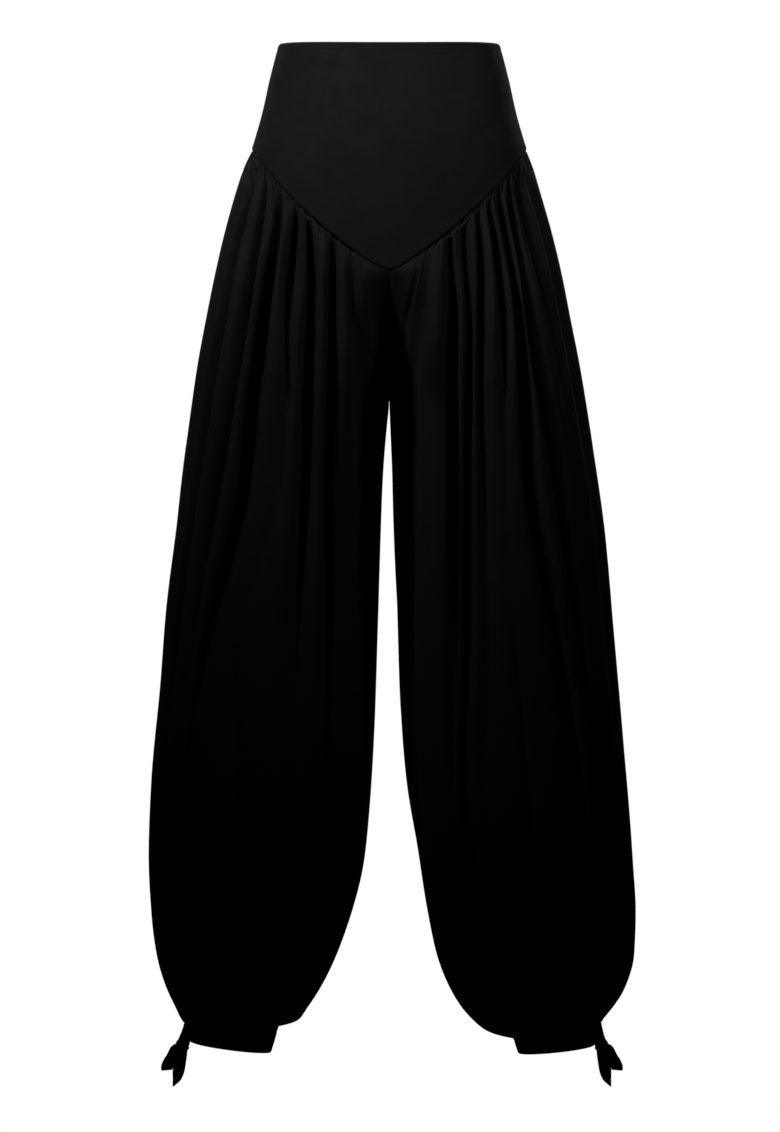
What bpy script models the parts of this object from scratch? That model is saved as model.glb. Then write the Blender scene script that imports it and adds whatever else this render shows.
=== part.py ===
"""High-waisted harem trousers, hollow, in the form they hang in when worn.

+X is the wearer's left, -Y the front and +Z up. The origin is the middle of the waist opening.
Sizes are in millimetres and angles in degrees; a drop is a depth below the waist edge.
Every piece of cloth is a wall with an outer and an inner skin. Neighbours part by SEAM_GAP.
"""

import math
from collections import namedtuple

import bpy
import numpy as np

MM = 0.001
LEFT, RIGHT = 1, -1
FRONT, BACK = -1, 1
SIDE_NAME = {LEFT: "left", RIGHT: "right"}
FACE_NAME = {FRONT: "front", BACK: "back"}

# ---------------------------------------------------------------- cloth and seams
SEAM_GAP = 0.3
YOKE_SEAM_GAP = 0.4  # measured straight down, across a seam that slants
LEG_CLOTH = 1.2
YOKE_CLOTH = 1.6  # two layers
CUFF_CLOTH = 2.0

# ---------------------------------------------------------------- yoke
YokeSection = namedtuple("YokeSection", "drop half_width front back")
YOKE_SECTIONS = (
    YokeSection(0, 116, 88, 88),
    YokeSection(35, 125, 95, 97),
    YokeSection(75, 134, 103, 108),
    YokeSection(110, 144, 108, 118),
    YokeSection(160, 155, 112, 124),
    YokeSection(210, 162, 114, 127),
    YokeSection(250, 165, 114, 128),
)
WAIST_DIP = 5.5  # how far the waist edge dips at the centre front
YOKE_SIDE_DROP = 111
YOKE_POINT_DROP = {FRONT: 243, BACK: 172}
YOKE_SEAM_BOW = 6  # how far the seam sags below a straight run from side to point
YOKE_POINT_ROUNDING = 0.06  # share of the half width over which the point is rounded
YOKE_ROWS = 4
BACK_SLOT = 0.8  # half the width of the slot that the zip's coil fills

# ---------------------------------------------------------------- legs
# One row for each level, from just below the yoke to the cuff. outer is the side seam, inner the
# centre seam and, below the crotch, the inside leg seam. fork is the angle by which the section
# still reaches round the body's centre: it closes to 0 at the crotch. square flattens the half
# towards the other leg: 2 is an ellipse.
LegSection = namedtuple(
    "LegSection", "outer_x outer_drop inner_x front_drop back_drop fork front back square"
)
LEG_SECTIONS = {
    RIGHT: (
        LegSection(152.4, 128, 0, 262, 199, 82, 117, 128, 2.1),
        LegSection(161.1, 155, 0, 286, 236, 72, 121, 132, 2.3),
        LegSection(172.2, 195, 0, 316, 282, 60, 124, 135, 2.6),
        LegSection(182.9, 240, 0, 345, 326, 46, 126, 137, 2.9),
        LegSection(192.9, 290, 0, 364, 355, 32, 126, 137, 3.1),
        LegSection(201, 335, 0, 375, 373, 17, 125, 136, 3.2),
        LegSection(207.4, 378, 0, 378, 378, 0, 123, 134, 3.2),
        LegSection(214, 425, 4.7, 425, 425, 0, 120, 131, 3),
        LegSection(223, 500, 9.1, 500, 500, 0, 118, 128, 2.7),
        LegSection(233.3, 590, 11.6, 590, 590, 0, 117, 126, 2.5),
        LegSection(241.3, 680, 14, 680, 680, 0, 117, 125, 2.35),
        LegSection(250, 770, 18.2, 770, 770, 0, 117, 124, 2.25),
        LegSection(252.5, 850, 25.7, 850, 850, 0, 115, 120, 2.2),
        LegSection(249.8, 910, 38.3, 905, 905, 0, 109, 113, 2.1),
        LegSection(244.1, 955, 54, 950, 950, 0, 98, 102, 2),
        LegSection(234.7, 988, 70.3, 985, 985, 0, 84, 87, 2),
        LegSection(224.7, 1010, 85.6, 1010, 1010, 0, 68, 70, 2),
        LegSection(219, 1022, 96, 1024, 1024, 0, 55, 56, 2),
        LegSection(214.7, 1027.5, 116, 1031, 1031, 0, 46.3, 46.3, 2),
    ),
    LEFT: (
        LegSection(151, 128, 0, 262, 199, 82, 117, 128, 2.1),
        LegSection(158.6, 155, 0, 286, 236, 72, 121, 132, 2.3),
        LegSection(170, 195, 0, 316, 282, 60, 124, 135, 2.6),
        LegSection(181, 240, 0, 345, 326, 46, 126, 137, 2.9),
        LegSection(191, 290, 0, 364, 355, 32, 126, 137, 3.1),
        LegSection(200, 335, 0, 375, 373, 17, 125, 136, 3.2),
        LegSection(207.4, 378, 0, 378, 378, 0, 123, 134, 3.2),
        LegSection(214.7, 425, 1.9, 425, 425, 0, 120, 131, 3),
        LegSection(225.2, 500, 5.3, 500, 500, 0, 118, 128, 2.7),
        LegSection(233, 590, 8.2, 590, 590, 0, 117, 126, 2.5),
        LegSection(242, 680, 11, 680, 680, 0, 117, 125, 2.35),
        LegSection(249.4, 770, 18.2, 770, 770, 0, 117, 124, 2.25),
        LegSection(255, 850, 31, 850, 850, 0, 115, 120, 2.2),
        LegSection(258.8, 910, 39.7, 905, 905, 0, 109, 113, 2.1),
        LegSection(257.3, 955, 49.9, 955, 955, 0, 98, 102, 2),
        LegSection(248.3, 988, 64.6, 992, 992, 0, 84, 87, 2),
        LegSection(235.2, 1010, 82.4, 1018, 1018, 0, 68, 70, 2),
        LegSection(225.5, 1022, 104.5, 1036, 1036, 0, 55, 56, 2),
        LegSection(222, 1027.5, 130, 1043.5, 1043.5, 0, 46.3, 46.3, 2),
    ),
}
# In a leg's grid row 0 is the yoke seam, so section k of the table is row k + 1.
CROTCH_ROW = 7
CUFF_ROW = 19

# Each row is one long fold. Its places are angles about the leg's own axis, from the side seam (0)
# round to the inner seam, at the yoke seam, hip, thigh, knee and shin; its depths there follow.
Fold = namedtuple("Fold", "seam hip thigh knee shin deep_seam deep_hip deep_thigh deep_knee deep_shin")
FOLD_ROWS = (0.0, 4.2, 7.0, 9.8, 12.5, CUFF_ROW)
FOLDS = {
    (FRONT, RIGHT): (
        Fold(17, 19, 17, 13, 9, 2.5, 5.0, 4.0, 2.0, 1.0),
        Fold(32, 35, 31, 24, 18, 3.0, 8.0, 6.0, 3.0, 1.0),
        Fold(47, 59, 57, 41, 28, 3.0, 8.0, 6.0, 6.0, 2.0),
        Fold(72, 68, 71, 63, 48, 3.0, 9.0, 7.0, 6.0, 1.5),
        Fold(79, 83, 84, 76, 72, 3.0, 7.0, 1.0, 2.5, 1.0),
        Fold(86, 96, 101, 104, 103, 3.0, 9.0, 7.0, 5.0, 2.5),
        Fold(97, 106, 112, 119, 120, 3.0, 7.0, 5.0, 4.0, 2.0),
        Fold(107, 117, 128, 140, 140, 2.5, 6.0, 2.0, 2.0, 1.5),
    ),
    (FRONT, LEFT): (
        Fold(16, 24, 26, 22, 18, 2.5, 5.0, 4.0, 2.0, 1.0),
        Fold(39, 46, 44, 38, 34, 3.0, 6.0, 2.0, 1.0, 1.0),
        Fold(50, 61, 61, 53, 48, 3.0, 8.0, 7.0, 4.0, 1.0),
        Fold(58, 68, 71, 75, 68, 3.0, 9.0, 9.0, 7.0, 2.5),
        Fold(69, 76, 80, 85, 82, 3.0, 6.0, 1.0, 0.5, 0.5),
        Fold(79, 87, 92, 94, 94, 3.0, 8.0, 4.0, 1.0, 1.0),
        Fold(88, 94, 100, 102, 104, 3.0, 6.0, 3.0, 1.0, 1.0),
        Fold(96, 102, 107, 110, 115, 3.0, 8.0, 7.0, 5.0, 2.0),
        Fold(106, 117, 123, 132, 136, 2.5, 6.0, 1.5, 2.0, 1.0),
    ),
    (BACK, RIGHT): (
        Fold(14, 16, 14, 12, 12, 2.5, 5.0, 3.0, 2.0, 1.0),
        Fold(30, 33, 30, 27, 28, 3.0, 8.0, 6.0, 4.0, 2.0),
        Fold(46, 50, 48, 43, 43, 3.0, 6.0, 3.0, 1.0, 1.0),
        Fold(61, 68, 68, 62, 60, 3.0, 9.0, 8.0, 6.0, 2.0),
        Fold(74, 82, 82, 80, 78, 3.0, 6.0, 2.0, 1.0, 0.5),
        Fold(86, 97, 100, 100, 98, 3.0, 9.0, 7.0, 6.0, 3.0),
        Fold(97, 109, 115, 118, 118, 3.0, 6.0, 3.0, 2.0, 1.0),
        Fold(107, 120, 130, 138, 138, 3.0, 5.0, 2.0, 3.0, 2.0),
    ),
    (BACK, LEFT): (
        Fold(16, 20, 18, 16, 15, 2.5, 5.0, 4.0, 2.0, 1.0),
        Fold(31, 35, 34, 30, 30, 3.0, 7.0, 3.0, 1.0, 1.0),
        Fold(47, 53, 51, 49, 46, 3.0, 9.0, 8.0, 5.0, 2.0),
        Fold(62, 68, 70, 68, 66, 3.0, 6.0, 2.0, 2.0, 1.0),
        Fold(75, 85, 89, 87, 85, 3.0, 9.0, 8.0, 6.0, 3.0),
        Fold(87, 98, 102, 104, 103, 3.0, 6.0, 2.0, 1.0, 0.5),
        Fold(97, 109, 116, 121, 120, 3.0, 7.0, 4.0, 5.0, 2.0),
        Fold(107, 120, 131, 140, 138, 3.0, 5.0, 2.0, 3.0, 1.0),
    ),
}
CUFF_GATHER_END = 165  # the angle to which the gathers at the cuff are spread
FLANK_SHARE = 0.385  # how deep a fold's flanks lie, as a share of its valley
INNER_COLUMNS = 4  # columns of the smooth stretch beside the inner seam
RING_SAMPLES = 361  # samples of a section, from which the columns are read
GATHER_ROWS = (0, 1, 2, 3.4)
GATHER_DEPTHS = (0, 2.6, 2.2, 0)
CUFF_GATHER_ROWS = (14.5, 16, 18, 19)
CUFF_GATHER_DEPTHS = (0, 3, 2.4, 0)

# ---------------------------------------------------------------- cuffs
Hem = namedtuple("Hem", "outer_x inner_x half_depth outer_drop inner_drop")
HEMS = {
    RIGHT: Hem(210, 123.9, 43.5, 1045.8, 1057.4),
    LEFT: Hem(216, 135.5, 43, 1049.8, 1058.4),
}
CUFF_TUCK = 6  # how far the cuff reaches up inside the leg
CUFF_COLUMNS = 36

# ---------------------------------------------------------------- ties
# A strap is a row of flat sections. out and drop are measured from the leg's outer end at the
# cuff, y is in the part's own axis, and facing turns from sideways (0) to forwards (90).
Strap = namedtuple("Strap", "out y drop width thick facing")
TIE_KNOT = (
    Strap(0.55, 0.0, 1.5, 9.0, 1.4, 0),
    Strap(2.4, -0.8, 8.0, 9.4, 1.6, 35),
    Strap(4.0, -1.6, 15.5, 9.8, 2.6, 70),
    Strap(4.9, -2.2, 20.0, 9.4, 5.0, 85),
    Strap(5.2, -2.4, 24.0, 12.6, 9.6, 90),
    Strap(5.4, -2.4, 28.0, 13.4, 11.0, 90),
    Strap(5.4, -2.4, 32.0, 11.4, 9.0, 90),
    Strap(5.4, -2.4, 35.0, 6.0, 5.0, 90),
)
TIE_TAIL_BACK = (
    Strap(13.4, 0.2, 29.0, 4.6, 1.6, 90),
    Strap(16.2, 1.2, 34.0, 9.0, 1.6, 90),
    Strap(18.9, 2.2, 40.5, 12.4, 1.6, 90),
    Strap(19.4, 2.6, 46.5, 12.6, 1.6, 90),
    Strap(18.9, 2.4, 49.8, 10.4, 1.6, 90),
)
TIE_TAIL_FRONT = (
    Strap(5.4, -2.6, 35.5, 5.4, 1.6, 90),
    Strap(5.5, -4.4, 41.0, 10.0, 1.6, 90),
    Strap(6.3, -5.0, 49.5, 12.4, 1.6, 90),
    Strap(7.9, -4.6, 57.0, 9.4, 1.6, 90),
    Strap(12.0, -3.6, 65.6, 1.4, 1.4, 90),
)
STRAP_CORNERS = 12
STRAP_ROUNDING = 0.6  # 1 would make a strap's section an ellipse, and 0 a rectangle

# ---------------------------------------------------------------- zip
ZIP_LENGTH = 166
ZIP_TOP = 3
TAPE_HALF_WIDTH = 11
TAPE_THICK = 0.8
COIL_HALF_WIDTH = 0.5
SLIDER_DROP = 9  # the slider's middle
SLIDER_WIDTH = 5.4
SLIDER_LENGTH = 9
SLIDER_THICK = 2
SLIDER_LIFT = 0.35
SLIDER_SLOPE = (0.8, 0.6)  # the slanting shoulder at each end, along and out
BAIL_LENGTH = 6.4
BAIL_RISE = 3
BAIL_ROOT = 0.5  # how far the bail reaches into the slider
BAIL_WIDTH = 1.2
BAIL_WIRE = 0.9
BAIL_STEPS = 8
BAIL_FULLNESS = 0.6
PULL_BAR = 0.55  # half the thickness of the pull and of the bar that turns in the bail
PULL_CLEARANCE = 0.6
PULL_LIFT = SLIDER_LIFT + SLIDER_THICK + PULL_CLEARANCE + PULL_BAR
PULL_LEAN = 6.5  # how far the pull leans in, until its end lies on the cloth
PULL_WINDOW_HALF_WIDTH = 1.0
PULL_WINDOW_END = 4.6
PULL_WINDOW_POINT = 0.8
PullRow = namedtuple("PullRow", "along half_width")
PULL_OUTLINE = (
    PullRow(-PULL_BAR, 2.1),
    PullRow(PULL_WINDOW_END, 2.1),
    PullRow(7.5, 1.6),
    PullRow(14, 2.2),
    PullRow(19, 2.4),
    PullRow(21.4, 1.5),
    PullRow(22, 0.4),
)

# ---------------------------------------------------------------- colours
CLOTH_LIGHTNESS = 0.012
CLOTH_ROUGHNESS = 0.8
TAPE_LIGHTNESS = 0.01
TAPE_ROUGHNESS = 0.7
METAL_LIGHTNESS = 0.02
METAL_ROUGHNESS = 0.35
SMOOTH_BELOW = 50  # edges flatter than this are shaded smooth


# ---------------------------------------------------------------- curves and meshes
def curve_through(place, places, values):
    """The value at a place, on a smooth curve through the rows of a table."""
    places = np.asarray(places, float)
    values = np.asarray(values, float)
    slopes = np.gradient(values, places)
    row = np.clip(np.searchsorted(places, place, side="right") - 1, 0, len(places) - 2)
    step = places[row + 1] - places[row]
    share = np.clip((place - places[row]) / step, 0, 1)
    value = (2 * share**3 - 3 * share**2 + 1) * values[row]
    value = value + (share**3 - 2 * share**2 + share) * step * slopes[row]
    value = value + (3 * share**2 - 2 * share**3) * values[row + 1]
    return value + (share**3 - share**2) * step * slopes[row + 1]


def unit(vectors):
    return vectors / np.linalg.norm(vectors, axis=-1, keepdims=True)


def add_object(name, points, faces, material):
    """A mesh object from points in millimetres, its faces turned outwards."""
    mesh = bpy.data.meshes.new(name)
    mesh.from_pydata([tuple(point * MM) for point in points], [], faces)
    mesh.update()
    if signed_volume(mesh) < 0:
        mesh.flip_normals()
    mesh.shade_smooth()
    mesh.set_sharp_from_angle(angle=math.radians(SMOOTH_BELOW))
    mesh.materials.append(material)
    piece = bpy.data.objects.new(name, mesh)
    bpy.context.scene.collection.objects.link(piece)
    return piece


def signed_volume(mesh):
    mesh.calc_loop_triangles()
    total = 0.0
    for triangle in mesh.loop_triangles:
        a, b, c = (mesh.vertices[index].co for index in triangle.vertices)
        total += a.dot(b.cross(c))
    return total


def wall_panel(name, outer, inner, material):
    """A closed wall between two grids of points with four free edges."""
    rows, columns = outer.shape[:2]
    points = np.concatenate([outer.reshape(-1, 3), inner.reshape(-1, 3)])
    below = rows * columns
    faces = []
    for row in range(rows - 1):
        for column in range(columns - 1):
            a = row * columns + column
            b, c, d = a + 1, a + columns, a + columns + 1
            faces += [(a, b, d), (a, d, c)]
            faces += [(below + d, below + b, below + a), (below + c, below + d, below + a)]
    rim = list(range(columns))
    rim += [row * columns + columns - 1 for row in range(1, rows)]
    rim += [(rows - 1) * columns + column for column in range(columns - 2, -1, -1)]
    rim += [row * columns for row in range(rows - 2, 0, -1)]
    for a, b in zip(rim, rim[1:] + rim[:1]):
        faces.append((b, a, below + a, below + b))
    return add_object(name, points, faces, material)


def wall_tube(name, outer, inner, material):
    """A closed wall between two grids of points whose rows are rings."""
    rows, columns = outer.shape[:2]
    points = np.concatenate([outer.reshape(-1, 3), inner.reshape(-1, 3)])
    below = rows * columns
    faces = []
    for column in range(columns):
        after = (column + 1) % columns
        for row in range(rows - 1):
            a, b = row * columns + column, row * columns + after
            faces.append((a, b, b + columns, a + columns))
            faces.append((below + a + columns, below + b + columns, below + b, below + a))
        faces.append((after, column, below + column, below + after))
        a, b = (rows - 1) * columns + column, (rows - 1) * columns + after
        faces.append((a, b, below + b, below + a))
    return add_object(name, points, faces, material)


def loft_solid(name, loops, material):
    """A closed solid through a row of loops, with a flat cap at each end."""
    rows, columns = loops.shape[:2]
    faces = [tuple(range(columns)), tuple((rows - 1) * columns + k for k in reversed(range(columns)))]
    for row in range(rows - 1):
        for column in range(columns):
            after = (column + 1) % columns
            a, b = row * columns + column, row * columns + after
            faces.append((b, a, a + columns, b + columns))
    return add_object(name, loops.reshape(-1, 3), faces, material)


def grey_material(name, lightness, roughness, metallic):
    material = bpy.data.materials.new(name)
    material.use_nodes = True
    shader = material.node_tree.nodes["Principled BSDF"]
    shader.inputs["Base Color"].default_value = (lightness, lightness, lightness, 1)
    shader.inputs["Roughness"].default_value = roughness
    shader.inputs["Metallic"].default_value = metallic
    return material


# ---------------------------------------------------------------- yoke
def yoke_surface(face, angle, drop):
    """Points on the yoke's outer skin; angle runs from 0 at the left side seam to 180 at the right."""
    drops = [section.drop for section in YOKE_SECTIONS]
    depths = [section.front if face == FRONT else section.back for section in YOKE_SECTIONS]
    half_width = curve_through(drop, drops, [section.half_width for section in YOKE_SECTIONS])
    depth = curve_through(drop, drops, depths)
    turn = np.radians(angle)
    return np.stack([half_width * np.cos(turn), face * depth * np.sin(turn), -drop], axis=-1)


def yoke_seam_drop(face, angle):
    across = np.hypot(np.cos(np.radians(angle)), YOKE_POINT_ROUNDING) - YOKE_POINT_ROUNDING
    widest = math.hypot(1, YOKE_POINT_ROUNDING) - YOKE_POINT_ROUNDING
    towards_point = 1 - across / widest
    fall = (YOKE_POINT_DROP[face] - YOKE_SIDE_DROP) * towards_point
    return YOKE_SIDE_DROP + fall + 4 * YOKE_SEAM_BOW * towards_point * (1 - towards_point)


def waist_drop(face, angle):
    dip = WAIST_DIP if face == FRONT else 0
    return dip * np.sin(np.radians(angle)) ** 2


def yoke_normal(face, angle, drop):
    step = 1.0
    along = yoke_surface(face, angle + step, drop) - yoke_surface(face, angle - step, drop)
    down = yoke_surface(face, angle, drop + step) - yoke_surface(face, angle, drop - step)
    return unit(np.cross(along, down) * -face)


def yoke_grid(face, angles):
    share = np.linspace(0, 1, YOKE_ROWS)[:, None]
    top = waist_drop(face, angles)[None, :]
    drop = top + (yoke_seam_drop(face, angles)[None, :] - top) * share
    angle = np.repeat(angles[None, :], YOKE_ROWS, axis=0)
    outer = yoke_surface(face, angle, drop)
    return outer, outer - YOKE_CLOTH * yoke_normal(face, angle, drop)


def build_yokes(material):
    left, right = (seam_angles(FRONT, side) for side in (LEFT, RIGHT))
    skins = yoke_grid(FRONT, np.concatenate([left, 180 - right[-2::-1]]))
    for skin in skins:
        skin[:, [0, -1], 1] += FRONT * SEAM_GAP / 2
        skin[-1, :, 2] += YOKE_SEAM_GAP / 2
    wall_panel("front_yoke", *skins, material)
    for side in (LEFT, RIGHT):
        skins = yoke_grid(BACK, seam_angles(BACK, side))
        for skin in skins:
            skin[..., 0] *= side
            skin[:, 0, 1] += BACK * SEAM_GAP / 2
            skin[:, -1, 0] = side * BACK_SLOT
            skin[-1, :, 2] += YOKE_SEAM_GAP / 2
        wall_panel("back_yoke_" + SIDE_NAME[side], *skins, material)


# ---------------------------------------------------------------- legs
def fold_places(folds, row):
    """The angles of the folds' valleys at a row: at the cuff they are evenly spaced."""
    places = []
    for index, fold in enumerate(folds):
        at_cuff = CUFF_GATHER_END * (index + 0.5) / len(folds)
        levels = (fold.seam, fold.hip, fold.thigh, fold.knee, fold.shin, at_cuff)
        places.append(curve_through(row, FOLD_ROWS, levels))
    return np.array(places)


def fold_depths(folds, row):
    depths = []
    for fold in folds:
        levels = (fold.deep_seam, fold.deep_hip, fold.deep_thigh, fold.deep_knee, fold.deep_shin, 0)
        depths.append(np.interp(row, FOLD_ROWS, levels))
    return np.array(depths)


def column_angles(folds, row, inner_angle):
    """The grid's columns at a row: a crest, a flank, a valley and a flank for each fold."""
    valleys = fold_places(folds, row)
    crests = np.concatenate([[0], (valleys[1:] + valleys[:-1]) / 2])
    crests = np.append(crests, 2 * valleys[-1] - crests[-1])
    columns = []
    for index, valley in enumerate(valleys):
        before, after = crests[index], crests[index + 1]
        columns += [before, (before + valley) / 2, valley, (valley + after) / 2]
    return np.concatenate([columns, np.linspace(crests[-1], inner_angle, INNER_COLUMNS + 1)])


def column_reliefs(folds, row):
    """How far each column lies inside the smooth form: valleys deep, flanks halfway."""
    depths = fold_depths(folds, row)
    gather = np.interp(row, GATHER_ROWS, GATHER_DEPTHS)
    gather += np.interp(row, CUFF_GATHER_ROWS, CUFF_GATHER_DEPTHS)
    reliefs = []
    for index, depth in enumerate(depths):
        crest_dip = gather if index else 0
        flank = depth * FLANK_SHARE
        reliefs += [crest_dip, flank, max(depth, gather), flank]
    return np.array(reliefs + [gather / 2] + [0] * INNER_COLUMNS)


def fullness(turn, square):
    """How much further than an ellipse a section reaches, past its middle, at each angle."""
    power = np.where(turn > math.pi / 2, square, 2.0)
    return (np.abs(np.cos(turn)) ** power + np.abs(np.sin(turn)) ** power) ** (-1 / power)


def section_ring(section, face, places):
    """Points of one section, for shares from the side seam (0) to the inner seam (1)."""
    last_turn = math.radians(180 - section.fork)
    reach = -math.cos(last_turn) * fullness(last_turn, section.square)
    turn = places * last_turn
    full = fullness(turn, section.square)
    inward = (1 - full * np.cos(turn)) / (1 + reach)
    x = section.outer_x + (section.inner_x - section.outer_x) * inward
    inner_drop, depth = section.front_drop, section.front
    if face == BACK:
        inner_drop, depth = section.back_drop, section.back
    drop = section.outer_drop + (inner_drop - section.outer_drop) * inward
    return np.stack([x, face * depth * full * np.sin(turn), -drop], axis=-1)


def leg_rings(side, face):
    """Each level of a leg panel as a finely sampled curve, with its angles about the leg's axis."""
    shares = np.linspace(0, 1, RING_SAMPLES)
    rings = [yoke_surface(face, 90 * shares, yoke_seam_drop(face, 90 * shares))]
    rings += [section_ring(section, face, shares) for section in LEG_SECTIONS[side]]
    inner_xs = [0] + [section.inner_x for section in LEG_SECTIONS[side]]
    for ring, inner_x in zip(rings, inner_xs):
        axis_x = (ring[0, 0] + inner_x) / 2
        yield ring, np.degrees(np.arctan2(np.abs(ring[:, 1]), ring[:, 0] - axis_x))


def leg_base(side, face):
    """The smooth form of a leg panel, as for the left leg, at its grid's rows and columns."""
    rows = []
    for row, (ring, angles) in enumerate(leg_rings(side, face)):
        columns = column_angles(FOLDS[face, side], row, angles[-1])
        rows.append(np.stack([np.interp(columns, angles, ring[:, axis]) for axis in range(3)], axis=-1))
    return np.array(rows)


def seam_angles(face, side):
    """The yoke's angles at the columns of the leg panel that is gathered into it."""
    _, angles = next(leg_rings(side, face))
    columns = column_angles(FOLDS[face, side], 0, angles[-1])
    return np.interp(columns, angles, np.linspace(0, 90, RING_SAMPLES))


def grid_normals(points, face):
    along = np.gradient(points, axis=1)
    down = np.gradient(points, axis=0)
    return unit(np.cross(along, down) * -face)


def seam_normals(normals, base, side, face):
    """Neighbours share the directions at their seams, so that their walls meet edge to edge."""
    down = np.gradient(base, axis=0)
    forwards = np.array([0.0, 1.0, 0.0])
    sideways = np.array([1.0, 0.0, 0.0])
    normals[:, 0] = unit(np.cross(forwards, down[:, 0]) * -1)
    normals[:CROTCH_ROW, -1] = unit(np.cross(sideways, down[:CROTCH_ROW, -1]) * face)
    normals[CROTCH_ROW, -1] = unit(np.array([-1.0, 0.0, -1.0]))
    normals[CROTCH_ROW + 1 :, -1] = unit(np.cross(forwards, down[CROTCH_ROW + 1 :, -1]))
    angles = seam_angles(face, side)
    normals[0] = yoke_normal(face, angles, yoke_seam_drop(face, angles))
    normals[-1] = (0, 0, -1)
    return normals


def build_leg_panel(side, face, material):
    base = leg_base(side, face)
    base_normals = seam_normals(grid_normals(base, face), base, side, face)
    folds = FOLDS[face, side]
    relief = np.array([column_reliefs(folds, row) for row in range(len(base))])
    relief[0] = 0
    relief[-1] = 0
    outer = base - relief[..., None] * base_normals
    normals = seam_normals(grid_normals(outer, face), base, side, face)
    skins = (outer, outer - LEG_CLOTH * normals)
    for skin in skins:
        skin[:, 0, 1] += face * SEAM_GAP / 2
        skin[: CROTCH_ROW + 1, -1, 0] += SEAM_GAP / 2
        skin[CROTCH_ROW:, -1, 1] += face * SEAM_GAP / 2
        skin[0, :, 2] -= YOKE_SEAM_GAP / 2
        skin[..., 0] *= side
    wall_panel(f"{FACE_NAME[face]}_leg_{SIDE_NAME[side]}", *skins, material)


# ---------------------------------------------------------------- cuffs
def cuff_ring(outer_x, inner_x, half_depth, outer_drop, inner_drop, inset):
    turn = np.linspace(0, 2 * math.pi, CUFF_COLUMNS, endpoint=False)
    middle = (outer_x + inner_x) / 2
    half_width = (outer_x - inner_x) / 2
    towards_inner = (1 - np.cos(turn)) / 2
    drop = outer_drop + (inner_drop - outer_drop) * towards_inner
    x = middle + (half_width - inset) * np.cos(turn)
    y = (half_depth - inset) * np.sin(turn)
    return np.stack([x, y, -drop], axis=-1)


def build_cuff(side, material):
    end = LEG_SECTIONS[side][-1]
    hem = HEMS[side]
    outer_x, inner_x, half_depth = end.outer_x - SEAM_GAP, end.inner_x + SEAM_GAP, end.front - SEAM_GAP
    skins = []
    for inset in (0, CUFF_CLOTH):
        tucked = cuff_ring(
            outer_x, inner_x, half_depth, end.outer_drop - CUFF_TUCK, end.front_drop - CUFF_TUCK, inset
        )
        seam = cuff_ring(outer_x, inner_x, half_depth, end.outer_drop, end.front_drop, inset)
        lower = cuff_ring(
            hem.outer_x, hem.inner_x, hem.half_depth, hem.outer_drop, hem.inner_drop, inset
        )
        skin = np.array([tucked, seam, lower])
        skin[..., 0] *= side
        skins.append(skin)
    wall_tube("cuff_" + SIDE_NAME[side], *skins, material)


# ---------------------------------------------------------------- ties
def build_strap(name, side, straps, material):
    end = LEG_SECTIONS[side][-1]
    centres = np.array([(end.outer_x + row.out, row.y, -end.outer_drop - row.drop) for row in straps])
    along = unit(np.gradient(centres, axis=0))
    turn = np.linspace(0, 2 * math.pi, STRAP_CORNERS, endpoint=False)
    loops = []
    for centre, direction, row in zip(centres, along, straps):
        facing = math.radians(row.facing)
        out = np.array([math.cos(facing), -math.sin(facing), 0])
        out = unit(out - direction * out.dot(direction))
        across = np.cross(direction, out)
        wide = np.sign(np.cos(turn)) * np.abs(np.cos(turn)) ** STRAP_ROUNDING * row.width / 2
        thick = np.sign(np.sin(turn)) * np.abs(np.sin(turn)) ** STRAP_ROUNDING * row.thick / 2
        loops.append(centre + wide[:, None] * across + thick[:, None] * out)
    loops = np.array(loops)
    loops[..., 0] *= side
    loft_solid(name, loops, material)


def build_ties(side, material):
    build_strap("tie_knot_" + SIDE_NAME[side], side, TIE_KNOT, material)
    build_strap("tie_tail_back_" + SIDE_NAME[side], side, TIE_TAIL_BACK, material)
    build_strap("tie_tail_front_" + SIDE_NAME[side], side, TIE_TAIL_FRONT, material)


# ---------------------------------------------------------------- zip
def back_line(x, drop, inset):
    """A point near the centre back, a distance inside the outer skin of the yoke's own facets."""
    row_drops = np.linspace(0, YOKE_POINT_DROP[BACK], YOKE_ROWS)
    half_widths = yoke_surface(BACK, np.zeros(YOKE_ROWS), row_drops)[:, 0]
    angles = np.degrees(np.arccos(x / half_widths))
    points = yoke_surface(BACK, angles, row_drops)
    points = points - inset * yoke_normal(BACK, np.full(YOKE_ROWS, 90.0), row_drops)
    return np.array([np.interp(drop, row_drops, points[:, axis]) for axis in range(3)])


def build_zip_tape(material):
    """A tape inside the yoke, with the coil standing in the slot between its halves."""
    near = YOKE_CLOTH + SEAM_GAP
    far = near + TAPE_THICK
    outline = [(-TAPE_HALF_WIDTH, far), (0, far), (TAPE_HALF_WIDTH, far)]
    outline += [(TAPE_HALF_WIDTH, near), (COIL_HALF_WIDTH, near), (COIL_HALF_WIDTH, SEAM_GAP)]
    outline += [(-COIL_HALF_WIDTH, SEAM_GAP), (-COIL_HALF_WIDTH, near), (-TAPE_HALF_WIDTH, near)]
    yoke_rows = np.linspace(0, YOKE_POINT_DROP[BACK], YOKE_ROWS)[1:-1]
    drops = [ZIP_TOP, *yoke_rows, ZIP_LENGTH]
    loops = np.array([[back_line(x, drop, inset) for x, inset in outline] for drop in drops])
    loft_solid("zip_tape", loops, material)


def slider_frame():
    """The slider's place on the cloth, and its directions across, down and out."""
    drop = float(SLIDER_DROP)
    out = yoke_normal(BACK, np.array([90.0]), np.array([drop]))[0]
    across = np.array([1.0, 0.0, 0.0])
    down = unit(np.cross(across, out))
    if down[2] > 0:
        down = -down
    return back_line(0, drop, 0), across, down, out


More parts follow.
